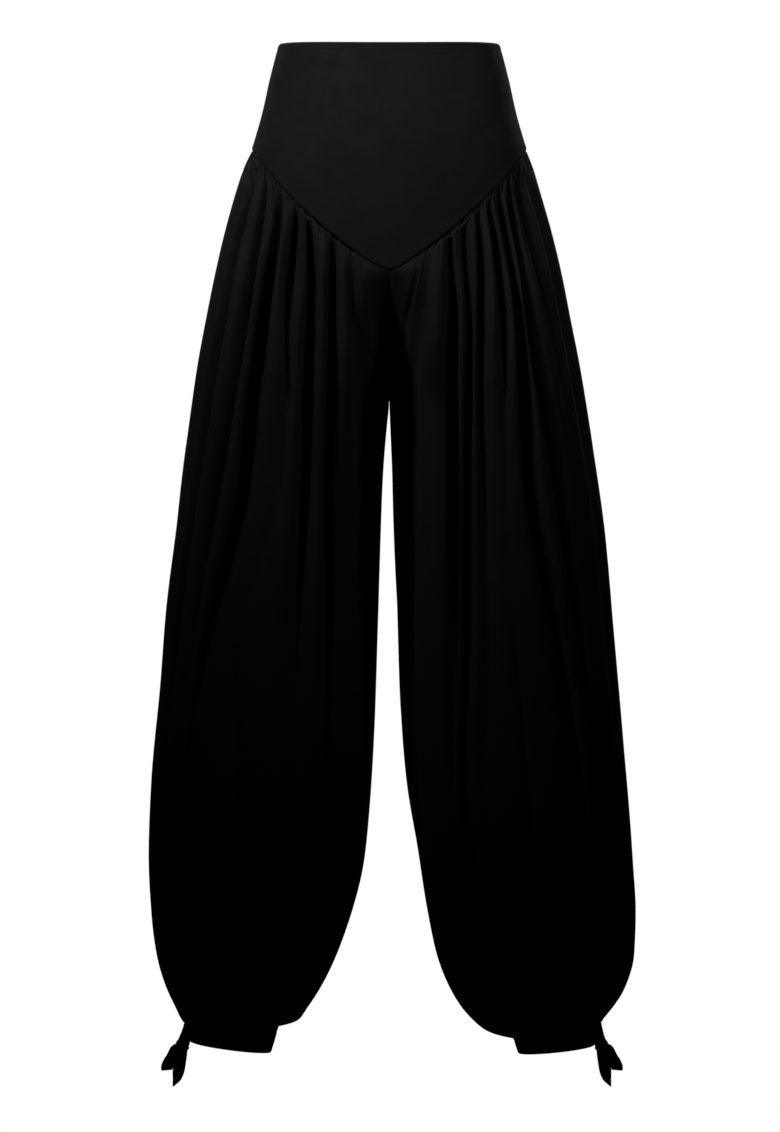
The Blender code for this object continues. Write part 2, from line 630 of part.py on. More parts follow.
def slab(name, outline, half_width, material):
    """A flat solid: an outline of (down, out) pairs, spread across."""
    place, across, down, out = slider_frame()
    loops = []
    for x in (-half_width, half_width):
        loops.append([place + x * across + a * down + b * out for a, b in outline])
    return loft_solid(name, np.array(loops), material)


def bail_arc(half_length, rise):
    """The bail's outline from root to root, as (down, out) pairs."""
    foot = SLIDER_LIFT + SLIDER_THICK
    arc = [(half_length, foot - BAIL_ROOT)]
    for step in range(BAIL_STEPS + 1):
        turn = math.pi * step / BAIL_STEPS
        arc.append((half_length * math.cos(turn), foot + rise * abs(math.sin(turn)) ** BAIL_FULLNESS))
    return arc + [(-half_length, foot - BAIL_ROOT)]


def build_slider(material):
    low, high = SLIDER_LIFT, SLIDER_LIFT + SLIDER_THICK
    slope_along, slope_out = SLIDER_SLOPE
    end, shoulder = SLIDER_LENGTH / 2, SLIDER_LENGTH / 2 - slope_along
    body = [(-end, low), (end, low), (end, high - slope_out), (shoulder, high)]
    body += [(-shoulder, high), (-end, high - slope_out)]
    slider = slab("zip_slider", body, SLIDER_WIDTH / 2, material)
    outer = bail_arc(BAIL_LENGTH / 2, BAIL_RISE)
    inner = bail_arc(BAIL_LENGTH / 2 - BAIL_WIRE, BAIL_RISE - BAIL_WIRE)
    bail = slab("bail_shape", outer + inner[::-1], BAIL_WIDTH / 2, material)
    bail.hide_render = True
    bail.display_type = "WIRE"
    union = slider.modifiers.new("bail", "BOOLEAN")
    union.operation = "UNION"
    union.object = bail


def pull_plate(name, corners, half_thick, material):
    """A flat plate round the pull's pivot, from (across, along) corners."""
    place, across, down, out = slider_frame()
    lean = math.radians(PULL_LEAN)
    along = math.cos(lean) * down - math.sin(lean) * out
    facing = math.cos(lean) * out + math.sin(lean) * down
    loops = [[x * across + a * along + b * facing for x, a in corners] for b in (-half_thick, half_thick)]
    plate = loft_solid(name, np.array(loops), material)
    plate.location = tuple((place + PULL_LIFT * out) * MM)
    return plate


def build_pull(material):
    """A tab with a window near its top: the bar above the window turns in the bail."""
    outline = [(row.half_width, row.along) for row in PULL_OUTLINE]
    outline += [(-row.half_width, row.along) for row in reversed(PULL_OUTLINE)]
    hole = [(-PULL_WINDOW_HALF_WIDTH, PULL_BAR), (PULL_WINDOW_HALF_WIDTH, PULL_BAR)]
    hole.append((PULL_WINDOW_HALF_WIDTH, PULL_WINDOW_END - PULL_WINDOW_POINT))
    hole.append((0, PULL_WINDOW_END))
    hole.append((-PULL_WINDOW_HALF_WIDTH, PULL_WINDOW_END - PULL_WINDOW_POINT))
    pull = pull_plate("zip_pull", outline, PULL_BAR, material)
    window = pull_plate("window_shape", hole, 2 * PULL_BAR, material)
    window.hide_render = True
    window.display_type = "WIRE"
    cut = pull.modifiers.new("window", "BOOLEAN")
    cut.operation = "DIFFERENCE"
    cut.object = window


def main():
    for old in list(bpy.data.objects):
        bpy.data.objects.remove(old, do_unlink=True)
    cloth = grey_material("black_cloth", CLOTH_LIGHTNESS, CLOTH_ROUGHNESS, 0)
    cuff_cloth = grey_material("cuff_cloth", CLOTH_LIGHTNESS, CLOTH_ROUGHNESS, 0)
    tape = grey_material("zip_cloth", TAPE_LIGHTNESS, TAPE_ROUGHNESS, 0)
    metal = grey_material("blackened_metal", METAL_LIGHTNESS, METAL_ROUGHNESS, 1)
    build_yokes(cloth)
    for side in (LEFT, RIGHT):
        for face in (FRONT, BACK):
            build_leg_panel(side, face, cloth)
        build_cuff(side, cuff_cloth)
        build_ties(side, cuff_cloth)
    build_zip_tape(tape)
    build_slider(metal)
    build_pull(metal)


main()
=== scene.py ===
"""The looks of high-waisted black harem trousers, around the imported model's frame.

+X is the wearer's left, -Y the front and +Z up. The origin is the middle of the waist opening.
Sizes are in millimetres and angles in degrees, unless a name says otherwise; a drop is a depth
below the waist edge. The sections of the yoke, the legs and the cuffs are those of the solids, read
more finely. The fold lines, the ties and all smaller forms are this script's own.
"""

import math
from collections import namedtuple

import bmesh
import bpy
import numpy as np
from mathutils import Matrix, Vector


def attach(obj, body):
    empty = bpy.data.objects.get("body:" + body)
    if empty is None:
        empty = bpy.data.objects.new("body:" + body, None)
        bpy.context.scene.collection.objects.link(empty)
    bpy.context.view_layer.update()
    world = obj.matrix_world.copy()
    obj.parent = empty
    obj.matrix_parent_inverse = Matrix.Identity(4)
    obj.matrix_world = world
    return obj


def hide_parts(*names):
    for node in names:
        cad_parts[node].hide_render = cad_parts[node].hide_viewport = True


MM = 0.001
LEFT, RIGHT = 1, -1
FRONT, BACK = -1, 1
SIDE_NAME = {LEFT: "left", RIGHT: "right"}
FACE_NAME = {FRONT: "front", BACK: "back"}

# ---------------- cloth and seams
SEAM_GAP = 0.3
YOKE_SEAM_GAP = 0.4  # measured straight down, across a seam that slants
YOKE_CLOTH = 1.6  # two layers

# ---------------- yoke
YokeSection = namedtuple("YokeSection", "drop half_width front back")
YOKE_SECTIONS = (
    YokeSection(0, 116, 88, 88),
    YokeSection(35, 125, 95, 97),
    YokeSection(75, 134, 103, 108),
    YokeSection(110, 144, 108, 118),
    YokeSection(160, 155, 112, 124),
    YokeSection(210, 162, 114, 127),
    YokeSection(250, 165, 114, 128),
)
WAIST_DIP = 5.5  # how far the waist edge dips at the centre front
WAIST_STITCH_DROP = 7
YOKE_SIDE_DROP = 111
YOKE_POINT_DROP = {FRONT: 243, BACK: 172}
YOKE_SEAM_BOW = 6  # how far the seam sags below a straight run from side to point
YOKE_POINT_ROUNDING = 0.06  # share of the half width over which the point is rounded
BACK_SLOT = 0.8  # half the width of the slot that the zip's coil fills

# ---------------- legs
# One row for each level, from just below the yoke to the cuff. outer is the side seam, inner the
# centre seam and, below the crotch, the inside leg seam. fork is the angle by which the section
# still reaches round the body's centre: it closes to 0 at the crotch. square flattens the half
# towards the other leg: 2 is an ellipse. right and left each hold outer_x, inner_x and the inner
# seam's drop at the front and at the back.
LegLevel = namedtuple("LegLevel", "outer_drop fork front back square right left")
LEG_LEVELS = (
    LegLevel(128, 82, 117, 128, 2.1, (152.4, 0, 262, 199), (151, 0, 262, 199)),
    LegLevel(155, 72, 121, 132, 2.3, (161.1, 0, 286, 236), (158.6, 0, 286, 236)),
    LegLevel(195, 60, 124, 135, 2.6, (172.2, 0, 316, 282), (170, 0, 316, 282)),
    LegLevel(240, 46, 126, 137, 2.9, (182.9, 0, 345, 326), (181, 0, 345, 326)),
    LegLevel(290, 32, 126, 137, 3.1, (192.9, 0, 364, 355), (191, 0, 364, 355)),
    LegLevel(335, 17, 125, 136, 3.2, (201, 0, 375, 373), (200, 0, 375, 373)),
    LegLevel(378, 0, 123, 134, 3.2, (207.4, 0, 378, 378), (207.4, 0, 378, 378)),
    LegLevel(425, 0, 120, 131, 3, (214, 4.7, 425, 425), (214.7, 1.9, 425, 425)),
    LegLevel(500, 0, 118, 128, 2.7, (223, 9.1, 500, 500), (225.2, 5.3, 500, 500)),
    LegLevel(590, 0, 117, 126, 2.5, (233.3, 11.6, 590, 590), (233, 8.2, 590, 590)),
    LegLevel(680, 0, 117, 125, 2.35, (241.3, 14, 680, 680), (242, 11, 680, 680)),
    LegLevel(770, 0, 117, 124, 2.25, (250, 18.2, 770, 770), (249.4, 18.2, 770, 770)),
    LegLevel(850, 0, 115, 120, 2.2, (252.5, 25.7, 850, 850), (255, 31, 850, 850)),
    LegLevel(910, 0, 109, 113, 2.1, (249.8, 38.3, 905, 905), (258.8, 39.7, 905, 905)),
    LegLevel(955, 0, 98, 102, 2, (244.1, 54, 950, 950), (257.3, 49.9, 955, 955)),
    LegLevel(988, 0, 84, 87, 2, (234.7, 70.3, 985, 985), (248.3, 64.6, 992, 992)),
    LegLevel(1010, 0, 68, 70, 2, (224.7, 85.6, 1010, 1010), (235.2, 82.4, 1018, 1018)),
    LegLevel(1022, 0, 55, 56, 2, (219, 96, 1024, 1024), (225.5, 104.5, 1036, 1036)),
    LegLevel(1027.5, 0, 46.3, 46.3, 2, (214.7, 116, 1031, 1031), (222, 130, 1043.5, 1043.5)),
)
LegSection = namedtuple(
    "LegSection", "outer_drop fork front back square outer_x inner_x front_drop back_drop"
)
LEG_SECTIONS = {
    RIGHT: [LegSection(*level[:5], *level.right) for level in LEG_LEVELS],
    LEFT: [LegSection(*level[:5], *level.left) for level in LEG_LEVELS],
}
# In a leg's grid row 0 is the yoke seam, so section k of the table is row k + 1.
CROTCH_ROW = 7
CUFF_ROW = 19

# Each row is one long fold: the distance of its bottom from the middle of the garment at seven
# drops, its depth just below the yoke, at the hip, thigh, knee and shin, and its half width.
Fold = namedtuple(
    "Fold",
    "at_150 at_210 at_280 at_360 at_460 at_620 at_780 "
    "deep_top deep_hip deep_thigh deep_knee deep_shin wide",
)
FOLD_DROPS = (150, 210, 280, 360, 460, 620, 780)
DEPTH_DROPS = (150, 280, 420, 560, 720)
FOLDS = {
    (FRONT, RIGHT): (
        Fold(154, 171.5, 186, 200, 213.5, 231, 246, 6, 7, 7, 6, 4, 7),
        Fold(146, 163, 176, 190.5, 204, 225.5, 239, 13, 17, 15, 11, 5, 5.6),
        Fold(129, 139.5, 151, 164, 180.5, 206, 226, 10, 14, 12, 5, 2, 3.2),
        Fold(111.5, 121.5, 132.5, 141.5, 152.5, 191, 213.5, 10, 14, 13, 9, 3, 5.2),
        Fold(92, 101, 106, 103, 110, 151.5, 158, 10, 10, 1, 1, 3, 4.2),
        Fold(82, 81.5, 78.5, 81.5, 83.5, 92, 98, 11, 15, 13, 10, 3, 5.4),
        Fold(57, 57, 58, 58, 59, 60, 67, 10, 15, 13, 9, 3, 3.6),
        Fold(38.5, 38, 35, 27, 22, 26, 36, 4, 5, 2, 3, 2, 7.5),
    ),
    (FRONT, LEFT): (
        Fold(151, 168.5, 184, 199, 214, 231, 245, 9, 14, 13, 9, 4, 11),
        Fold(136, 151, 168.5, 184, 199.5, 218, 233.5, 10, 6, 2, 1, 1, 3.2),
        Fold(125.5, 136, 145.5, 158.5, 174.5, 199.5, 219, 11, 12, 8, 6, 2, 4.2),
        Fold(113, 127, 136.5, 141.5, 147, 177, 201.5, 11, 13, 13, 11, 4, 3.4),
        Fold(100, 112, 119, 119.5, 121, 130.5, 145, 10, 8, 1, 0, 2, 3.2),
        Fold(88, 96.5, 96, 94.5, 98.5, 102, 99.5, 9, 12, 6, 2, 2, 3.2),
        Fold(73, 79, 83, 83, 80, 80, 76, 8, 12, 10, 9, 5, 5.6),
        Fold(58.5, 62.5, 67.5, 66.5, 66.5, 65.5, 59.5, 9, 14, 13, 12, 7, 6.0),
        Fold(42, 43, 33, 22, 22, 21, 27.5, 4, 5, 2, 3, 2, 7.5),
    ),
    (BACK, RIGHT): (
        Fold(154, 171, 186, 200, 213, 231, 246, 8, 11, 9, 6, 3, 5.4),
        Fold(143, 160, 173, 187, 201, 222, 236, 8, 7, 6, 4, 2, 4.4),
        Fold(124, 136, 148, 161, 176, 200, 217, 10, 13, 11, 7, 3, 4.6),
        Fold(106, 117, 127, 137, 149, 171, 190, 10, 9, 4, 2, 1, 3.4),
        Fold(88, 97, 104, 111, 120, 139, 152, 10, 14, 13, 11, 5, 5.2),
        Fold(70, 77, 82, 86, 92, 104, 113, 9, 9, 5, 1, 1, 3.4),
        Fold(53, 57, 60, 62, 66, 72, 78, 9, 13, 12, 9, 4, 5.0),
        Fold(37, 38, 38, 36, 38, 43, 50, 7, 8, 6, 5, 2, 3.6),
        Fold(22, 21, 19, 15, 18, 21, 29, 4, 6, 8, 8, 3, 5.0),
    ),
    (BACK, LEFT): (
        Fold(153, 170, 185, 200, 214, 232, 246, 8, 11, 9, 6, 3, 5.4),
        Fold(144, 160, 173, 187, 201, 222, 236, 8, 7, 6, 4, 2, 4.4),
        Fold(128, 141, 153, 165, 181, 205, 223, 10, 10, 5, 2, 1, 3.4),
        Fold(109, 120, 131, 142, 155, 178, 196, 10, 14, 13, 9, 4, 5.0),
        Fold(91, 100, 107, 115, 125, 146, 160, 9, 9, 4, 3, 2, 3.6),
        Fold(73, 79, 84, 90, 98, 112, 122, 10, 14, 13, 10, 5, 5.2),
        Fold(55, 59, 62, 65, 69, 77, 84, 9, 9, 4, 2, 1, 3.4),
        Fold(38, 40, 41, 41, 42, 46, 52, 8, 12, 10, 7, 3, 4.6),
        Fold(23, 21, 18, 15, 18, 22, 30, 4, 6, 8, 8, 3, 5.0),
    ),
}
CUFF_GATHER_SHARE = 0.92  # of the way round to the inner seam: the gathers at the cuff reach so far
EVEN_ROWS = (12.2, 17.5)  # the rows between which the folds turn into even gathers at the cuff
LEAST_ARC = 7  # at least this from the side seam to the first fold, twice this to the next, and so on
RING_SAMPLES = 361  # samples of a section, from which the columns are read

# ---------------- cuffs
Hem = namedtuple("Hem", "outer_x inner_x half_depth outer_drop inner_drop")
HEMS = {
    RIGHT: Hem(210, 123.9, 43.5, 1045.8, 1057.4),
    LEFT: Hem(216, 135.5, 43, 1049.8, 1058.4),
}
CUFF_TUCK = 6  # how far the cuff reaches up inside the leg

# ---------------- ties
# A strap is a row of flat sections. out and drop are measured from the leg's outer end at the
# cuff, y is in the part's own axis, and facing turns from sideways (0) to forwards (90).
Strap = namedtuple("Strap", "out y drop width thick facing")
TIE_KNOT = (
    Strap(0.1, 0.0, -1.0, 8.6, 1.2, 4),
    Strap(-0.5, -0.3, 5.0, 9.6, 1.4, 34),
    Strap(-0.4, -0.8, 10.0, 10.4, 1.6, 56),
    Strap(0.0, -1.4, 15.0, 12.0, 2.6, 80),
    Strap(1.0, -2.0, 19.0, 13.2, 5.0, 90),
    Strap(2.7, -2.4, 22.5, 14.2, 8.6, 90),
    Strap(3.6, -2.4, 26.5, 14.0, 10.0, 90),
    Strap(3.8, -2.4, 30.0, 12.0, 8.0, 90),
    Strap(3.8, -2.4, 32.5, 7.0, 4.5, 90),
)
TIE_TAIL_BACK = (
    Strap(6.0, -0.2, 24.0, 10.6, 2.4, 90),
    Strap(9.4, 0.4, 28.6, 13.4, 2.0, 90),
    Strap(13.2, 1.2, 35.4, 12.8, 1.6, 90),
    Strap(17.2, 2.0, 41.8, 12.6, 1.6, 90),
    Strap(18.9, 2.6, 46.5, 12.4, 1.6, 90),
    Strap(18.7, 2.4, 49.2, 11.8, 1.5, 90),
)
TIE_TAIL_FRONT = (
    Strap(2.9, -3.2, 27.0, 12.0, 2.4, 90),
    Strap(3.9, -4.2, 33.0, 12.8, 1.8, 90),
    Strap(5.1, -4.8, 41.0, 13.0, 1.6, 90),
    Strap(6.3, -5.0, 49.0, 12.5, 1.6, 90),
    Strap(8.0, -4.8, 56.5, 9.6, 1.6, 90),
    Strap(10.4, -4.2, 61.8, 4.8, 1.5, 90),
    Strap(12.2, -3.6, 65.6, 1.0, 1.4, 90),
)
TIE_SHIFT = {RIGHT: 0.0, LEFT: -1.6}  # how much further out the lower part of each tie hangs
# The strip's turn round the knot: its middle, how it leans, its half sizes and its half height.
Wrap = namedtuple("Wrap", "out y drop lean half_width half_depth half_height")
TIE_WRAP = Wrap(3.7, -2.4, 24.8, 24, 8.2, 5.9, 4.4)
STRAP_ROUNDING = 0.6  # 1 would make a strap's section an ellipse, and 0 a rectangle
STRAP_STEPS = 9  # loops between two rows of a strap's table
STRAP_CORNERS = 36
STRAP_ENDS = ((0, 0.9), (1, 0.97), (-1, 0.9), (-2, 0.97))  # end loops and their sizes
STRAP_CURL = 0.7  # how far a free end's edges curl forwards
WRAP_COLUMNS = 48
WRAP_ROWS = 13
WRAP_THICK = 1.3
WRAP_TAPER = 0.16  # towards its upper and lower edges
WRAP_SWELL = 0.03
WRAP_PINCH = 0.2  # the share by which it is less high at its back and more at its front

# ---------------- zip
ZIP_LENGTH = 166
ZIP_TOP = 3
TAPE_HALF_WIDTH = 11
TAPE_THICK = 0.8
COIL_HALF_WIDTH = 0.5

# ---------------- fineness of the cloth
HALF_FOLD_COLUMNS = 11  # columns from a fold's crest to its valley
CROWDING = 1.6  # above 1, the columns crowd towards the valleys
SEAM_COLUMNS = 4  # more columns beside the side seam
INNER_COLUMNS = 26  # columns of the smooth stretch beside the inner seam
INNER_CROWDING = 1.5
SEAM_ROW_STEPS = 15
SEAM_ROW_CROWDING = 1.5
RowRun = namedtuple("RowRun", "start end steps")
ROW_RUNS = (
    RowRun(1, 3, 18),
    RowRun(3, 7, 34),
    RowRun(7, 14, 58),
    RowRun(14, 16, 20),
    RowRun(16, CUFF_ROW, 30),
)
EDGE_STEPS = (0, 0.35, 0.8, 1.4, 2.2, 3.2, 4.4)  # distances from a sewn edge, crowded to round it
YOKE_MIDDLE_ROWS = 64
YOKE_MIDDLE_COLUMNS = 116  # for a half of the yoke
CUFF_COLUMNS = 160
LEG_SHELL = 1.0
YOKE_SHELL = 1.4
CUFF_SHELL = 1.7
SMOOTH_BELOW = 50

# ---------------- creases and gathers
SEED = 11
CREASE_SHARE = 0.62  # the most of the way to the next crest that a crease's half width takes
ROUNDNESS = 0.42  # how much of a fold is a wide wave: the rest is the crease
FOLD_LEAN = 0.2  # how unevenly one side of a crease differs from the other
FOLD_TIP = 0.3  # how much steeper each crease is on the side that the folds lie over
FOLD_UNEVENNESS = 0.12
CUFF_FOLD_DEPTH = 3.4
CUFF_FOLD_RISE = (13.5, 16.5)  # the rows over which the folds turn into those above the cuff
CUFF_FOLD_END = 17.6
CUFF_GATHER = 0.8  # of the gathers' depth at the yoke
CUFF_GATHER_RISE = (14.8, 16.8)
CUFF_PUCKER = 0.6
CUFF_PUCKER_RISE = (16.2, 18)
SEAM_RISE = 0.7  # the row at which the gathers below the yoke reach their full depth
FOLD_RISE = (-0.5, 2.0)  # the rows over which the creases of the long folds deepen
FOLD_ROUNDING_RISE = (0, 3.0)  # the rows over which the cloth rounds out between them
FOLD_TAPER = (0.3, 2.2)  # a crease's share of its width at the yoke, and the row of its full width
GATHER_DEPTH = 5.5
GATHER_FADE = (1.6, 4.6)  # the rows between which the gathers die out, one sooner than another
PUCKER_DEPTH = 3.6
PUCKER_FADE = (0.8, 3.0)
PUCKER_RISE = (-0.2, 0.4)
Width = namedtuple("Width", "share least most")  # a share of the spacing, between two limits
GATHER_WIDTH = Width(0.14, 1.2, 3.6)
PUCKER_WIDTH = Width(0.08, 1.0, 2.2)
TUCK_COUNT = 24  # the smallest gathers below the yoke, in a panel
TUCK_DEPTH = 2.6
TUCK_WIDTH = 2.2
TUCK_WIDENING = 0.5
TUCK_RISE = (-0.3, 0.3)
TUCK_FADE = (0.7, 2.3)
TUCKLESS = (14, 46)  # from the yoke's point: no such gathers within the first, all past the second
BULGE = 0.6  # how far the gathered cloth stands out just below the yoke
BULGE_ROWS = (0.9, 2.4)
SEAM_TUCK = 0.5
YOKE_TUCK_WIDTH = 2.2
CUFF_TUCK_WIDTH = 1.6
SEAM_FADE = 6  # the folds die out so near to the side and inner seams
ROW_LENGTH = 24  # between the yoke seam's first rows, about
CUFF_ROW_LENGTH = 6
GROOVE_DEPTH = 0.9
GROOVE_WIDTH = 1.5
INNER_GROOVE_SHARE = 0.15  # of the side seam's groove
SWELL = 0.6  # slow unevenness of the cloth
SWELL_LENGTHS = (60, 51, 42, 33)
CROTCH_REACH = 0.06  # how many rows the crotch itself takes up
CROTCH_PASSES = 60
CROTCH_SOFT_ROWS = 1.6
CROTCH_SOFT_SHARE = (0.55, 0.8)  # of the way to the inner seam
FOLD_DEEPENING = 1.9
FOLD_WIDENING = 1.35
# The cloth beside the centre seams and the inside leg seams falls back between the thighs: at
# these drops, by these shares of its depth, and less from the seam outwards.
HOLLOW_DROPS = (243, 262, 290, 330, 365, 400, 560, 700, 850, 950)
HOLLOW_SHARES = (0, 0.1, 0.25, 0.42, 0.6, 0.64, 0.56, 0.38, 0.12, 0)
HOLLOW_DEPTH = {FRONT: 1, BACK: 0.6}
HOLLOW_REACH = (2, 42)  # from the seam

# Long soft creases that cross the folds: a start and an end, as drops and angles about the leg's
# axis.
Crease = namedtuple("Crease", "drop angle end_drop end_angle depth width")
CREASES = {
    (FRONT, RIGHT): (
        Crease(500, 74, 786, 74, 3.0, 5),
        Crease(144, 41, 250, 44, 2.2, 5),
        Crease(382, 158, 455, 128, 2.4, 7),
        Crease(382, 168, 626, 150, 2.0, 7),
        Crease(862, 30, 975, 62, 2.2, 6),
        Crease(886, 84, 992, 108, 2.6, 6),
        Crease(919, 152, 997, 118, 2.2, 6),
        Crease(802, 58, 937, 88, 1.6, 7),
    ),
    (FRONT, LEFT): (
        Crease(455, 71, 716, 46, 4.0, 6),
        Crease(139, 13, 361, 26, 2.2, 6),
        Crease(382, 156, 425, 130, 2.2, 7),
        Crease(382, 166, 590, 146, 1.8, 7),
        Crease(850, 38, 968, 70, 2.2, 6),
        Crease(874, 92, 988, 116, 2.6, 6),
        Crease(910, 156, 992, 124, 2.2, 6),
        Crease(786, 66, 928, 92, 1.6, 7),
    ),
    (BACK, RIGHT): (
        Crease(382, 160, 440, 120, 3.2, 8),
        Crease(382, 168, 608, 142, 2.6, 8),
        Crease(440, 54, 734, 40, 2.6, 6),
        Crease(155, 40, 270, 42, 2.0, 5),
        Crease(862, 34, 975, 66, 2.2, 6),
        Crease(898, 90, 992, 114, 2.6, 6),
        Crease(910, 154, 995, 120, 2.2, 6),
    ),
    (BACK, LEFT): (
        Crease(382, 160, 470, 122, 3.2, 8),
        Crease(382, 168, 572, 144, 2.4, 8),
        Crease(485, 77, 770, 60, 3.0, 6),
        Crease(144, 26, 260, 28, 2.0, 5),
        Crease(850, 30, 968, 64, 2.2, 6),
        Crease(886, 86, 988, 112, 2.6, 6),
        Crease(919, 156, 997, 122, 2.2, 6),
    ),
}

# Faint soft dents of the yoke: the middle's place across and its drop, half the length and the
# width, and how much the dent slopes down to the left.
Dent = namedtuple("Dent", "x drop half_length width slope depth")
DENTS = {
    FRONT: (
        Dent(-76, 27, 9, 4.0, -0.5, 0.55),
        Dent(-106, 44, 13, 4.5, -0.35, 0.7),
        Dent(-116, 79, 9, 4.5, -0.6, 0.6),
        Dent(-40, 150, 26, 9.0, 0.8, 0.35),
        Dent(62, 60, 20, 8.0, -0.4, 0.4),
        Dent(104, 92, 12, 5.0, -0.5, 0.5),
    ),
    BACK: (
        Dent(-58, 70, 20, 7.0, -0.4, 0.6),
        Dent(64, 84, 18, 6.0, 0.5, 0.6),
        Dent(-104, 60, 10, 5.0, 0.5, 0.6),
        Dent(100, 50, 12, 5.0, -0.4, 0.6),
    ),
}

# Lines along the sewn edges of the yoke and the cuffs: how far from the edge, how deep and how
# wide. A depth below 0 stands out, and on the inside of a cuff it rounds the edge.
Line = namedtuple("Line", "inwards depth width")
TOP_LINES = (Line(0, 0.7, 1.2), Line(WAIST_STITCH_DROP, 0.25, 1.1))
YOKE_SEAM_LINES = (Line(0, 0.9, 1.2), Line(3.6, -0.35, 1.8))
SIDE_LINES = (Line(0, GROOVE_DEPTH, GROOVE_WIDTH), Line(4, -0.2, 2))
SLOT_LINES = (Line(BACK_SLOT, 0.5, 0.9), Line(6, -0.25, 2.5))
HEM_LINES = (Line(0, 0.75, 0.9), Line(3.2, 0.25, 0.9))
INNER_HEM_LINES = (Line(0, -0.75, 0.9),)
CUFF_LINES = (Line(3.2, 0.3, 0.9),)

# ---------------- sewing
STITCH_PITCH = 2.8
STITCH_LENGTH = 2.2
STITCH_WIDTH = 0.4
STITCH_SINK = 0.1
STITCH_CORNERS = 5
STITCH_ENDS = ((-1, 0.35), (-0.6, 1), (0.6, 1), (1, 0.35))  # shares of its half length and width
CUFF_SWELL = 0.22
TOOTH_PITCH = 1.5
TOOTH_CORNERS = 6
TOOTH_ENDS = ((-1, 0.6), (-0.7, 1), (0.7, 1), (1, 0.6))  # shares of its reach and thickness
TOOTH_REACH = 0.45  # half of a tooth's length across the zip
TOOTH_SHIFT = 0.1  # to the left and to the right in turn
TOOTH_LEAN = 0.12
TOOTH_DEPTH = 0.34
TOOTH_HEIGHT = 0.3
TOOTH_INSET = SEAM_GAP + 0.35
ALLOWANCE_DEPTH = 2.1
ALLOWANCE_THICK = 0.5
ALLOWANCE_HALF_WIDTH = 4.5
ALLOWANCE_TOP = 0.05  # the row at which the centre seam's allowance starts
ALLOWANCE_HIGH = 0.4  # how many rows above the crotch it ends
ALLOWANCE_LOW = 0.3  # how many rows below the crotch the inside leg seam's starts

# ---------------- materials and studio, in metres
CLOTH_MAP = "cloth"
WAVE_SCALE = 0.314  # a wave texture's scale for a period of one unit
CAMERA_PLACE = (0.0008, -5.5, -0.547)
CAMERA_LENS = 166.6
FLOOR_Z = -1.25
WORLD_STRENGTH = 0.004
Lamp = namedtuple("Lamp", "name azimuth elevation distance target_x target_z power cone radius")
LAMPS = (
    Lamp("left_key", -50, 38, 3.0, -0.02, 0.13, 222, 21.8, 0.3),
    Lamp("right_key", 50, 38, 3.0, 0.02, 0.13, 106, 22, 0.3),
    Lamp("left_low", -56, 20, 3.0, -0.2, -0.37, 50, 9, 0.3),
    Lamp("right_low", 60, 20, 3.0, 0.22, -0.37, 18, 8.6, 0.3),
    Lamp("low_fill", -30, 20, 3.0, 0, -0.05, 1.4, 26, 0.3),
    Lamp("back_left_key", 158, 38, 3.0, 0, 0.12, 110, 27, 0.3),
    Lamp("back_right_key", -158, 38, 3.0, 0, 0.12, 70, 25, 0.3),
    Lamp("low_back_fill", 150, 20, 3.0, 0, -0.2, 2.5, 36, 0.3),
)


# ---------------- curves and surfaces
def blend(share, step, start, end, start_slope, end_slope):
    """The value at a share of the way from a start to an end, on a curve with given slopes."""
    value = (2 * share**3 - 3 * share**2 + 1) * start
    value = value + (share**3 - 2 * share**2 + share) * step * start_slope
    value = value + (3 * share**2 - 2 * share**3) * end
    return value + (share**3 - share**2) * step * end_slope


def curve_through(place, places, values):
    """The value at a place, on a smooth curve through the rows of a table."""
    places = np.asarray(places, float)
    values = np.asarray(values, float)
    slopes = np.gradient(values, places, axis=0)
    row = np.clip(np.searchsorted(places, place, side="right") - 1, 0, len(places) - 2)
    step = places[row + 1] - places[row]
    share = np.clip((place - places[row]) / step, 0, 1)
    deeper = np.shape(share) + (1,) * (values.ndim - 1)
    step, share = np.reshape(step, deeper), np.reshape(share, deeper)
    return blend(share, step, values[row], values[row + 1], slopes[row], slopes[row + 1])


def between_levels(place, values):
    """Values between evenly spaced levels, on smooth curves that never overshoot a level."""
    steps = np.diff(values, axis=0)
    product = steps[1:] * steps[:-1]
    total = steps[1:] + steps[:-1]
    inside = np.where(product > 0, 2 * product / np.where(total == 0, 1, total), 0)
    slopes = np.concatenate([steps[:1], inside, steps[-1:]])
    row = np.clip(np.floor(place).astype(int), 0, len(values) - 2)
    share = np.reshape(place - row, np.shape(place) + (1,) * (values.ndim - 1))
    return blend(share, 1, values[row], values[row + 1], slopes[row], slopes[row + 1])


def on_path(places, lengths, path):
    """The points of a path at the given lengths along it."""
    return np.stack([np.interp(places, lengths, path[:, axis]) for axis in range(3)], axis=-1)


def unit(vectors):
    return vectors / np.linalg.norm(vectors, axis=-1, keepdims=True)


def trough(distance, width):
    """The section of a soft trough: 1 on its line and 0 away from it."""
    return np.exp(-((distance / width) ** 2))


def lines_relief(inwards, lines):
    """The depth of the lines along a sewn edge, at distances from the edge."""
    return sum(line.depth * trough(inwards - line.inwards, line.width) for line in lines)


def ramp(value, low, high):
    """A smooth rise from 0 at low to 1 at high."""
    share = np.clip((value - low) / (high - low), 0, 1)
    return share * share * (3 - 2 * share)


def yoke_surface(face, angle, drop):
    """Points on the yoke's outer skin; angle runs from 0 at the left side seam to 180 at the right."""
    drops = [section.drop for section in YOKE_SECTIONS]
    depths = [section.front if face == FRONT else section.back for section in YOKE_SECTIONS]
    half_width = curve_through(drop, drops, [section.half_width for section in YOKE_SECTIONS])
    depth = curve_through(drop, drops, depths)
    turn = np.radians(angle)
    return np.stack([half_width * np.cos(turn), face * depth * np.sin(turn), -drop], axis=-1)


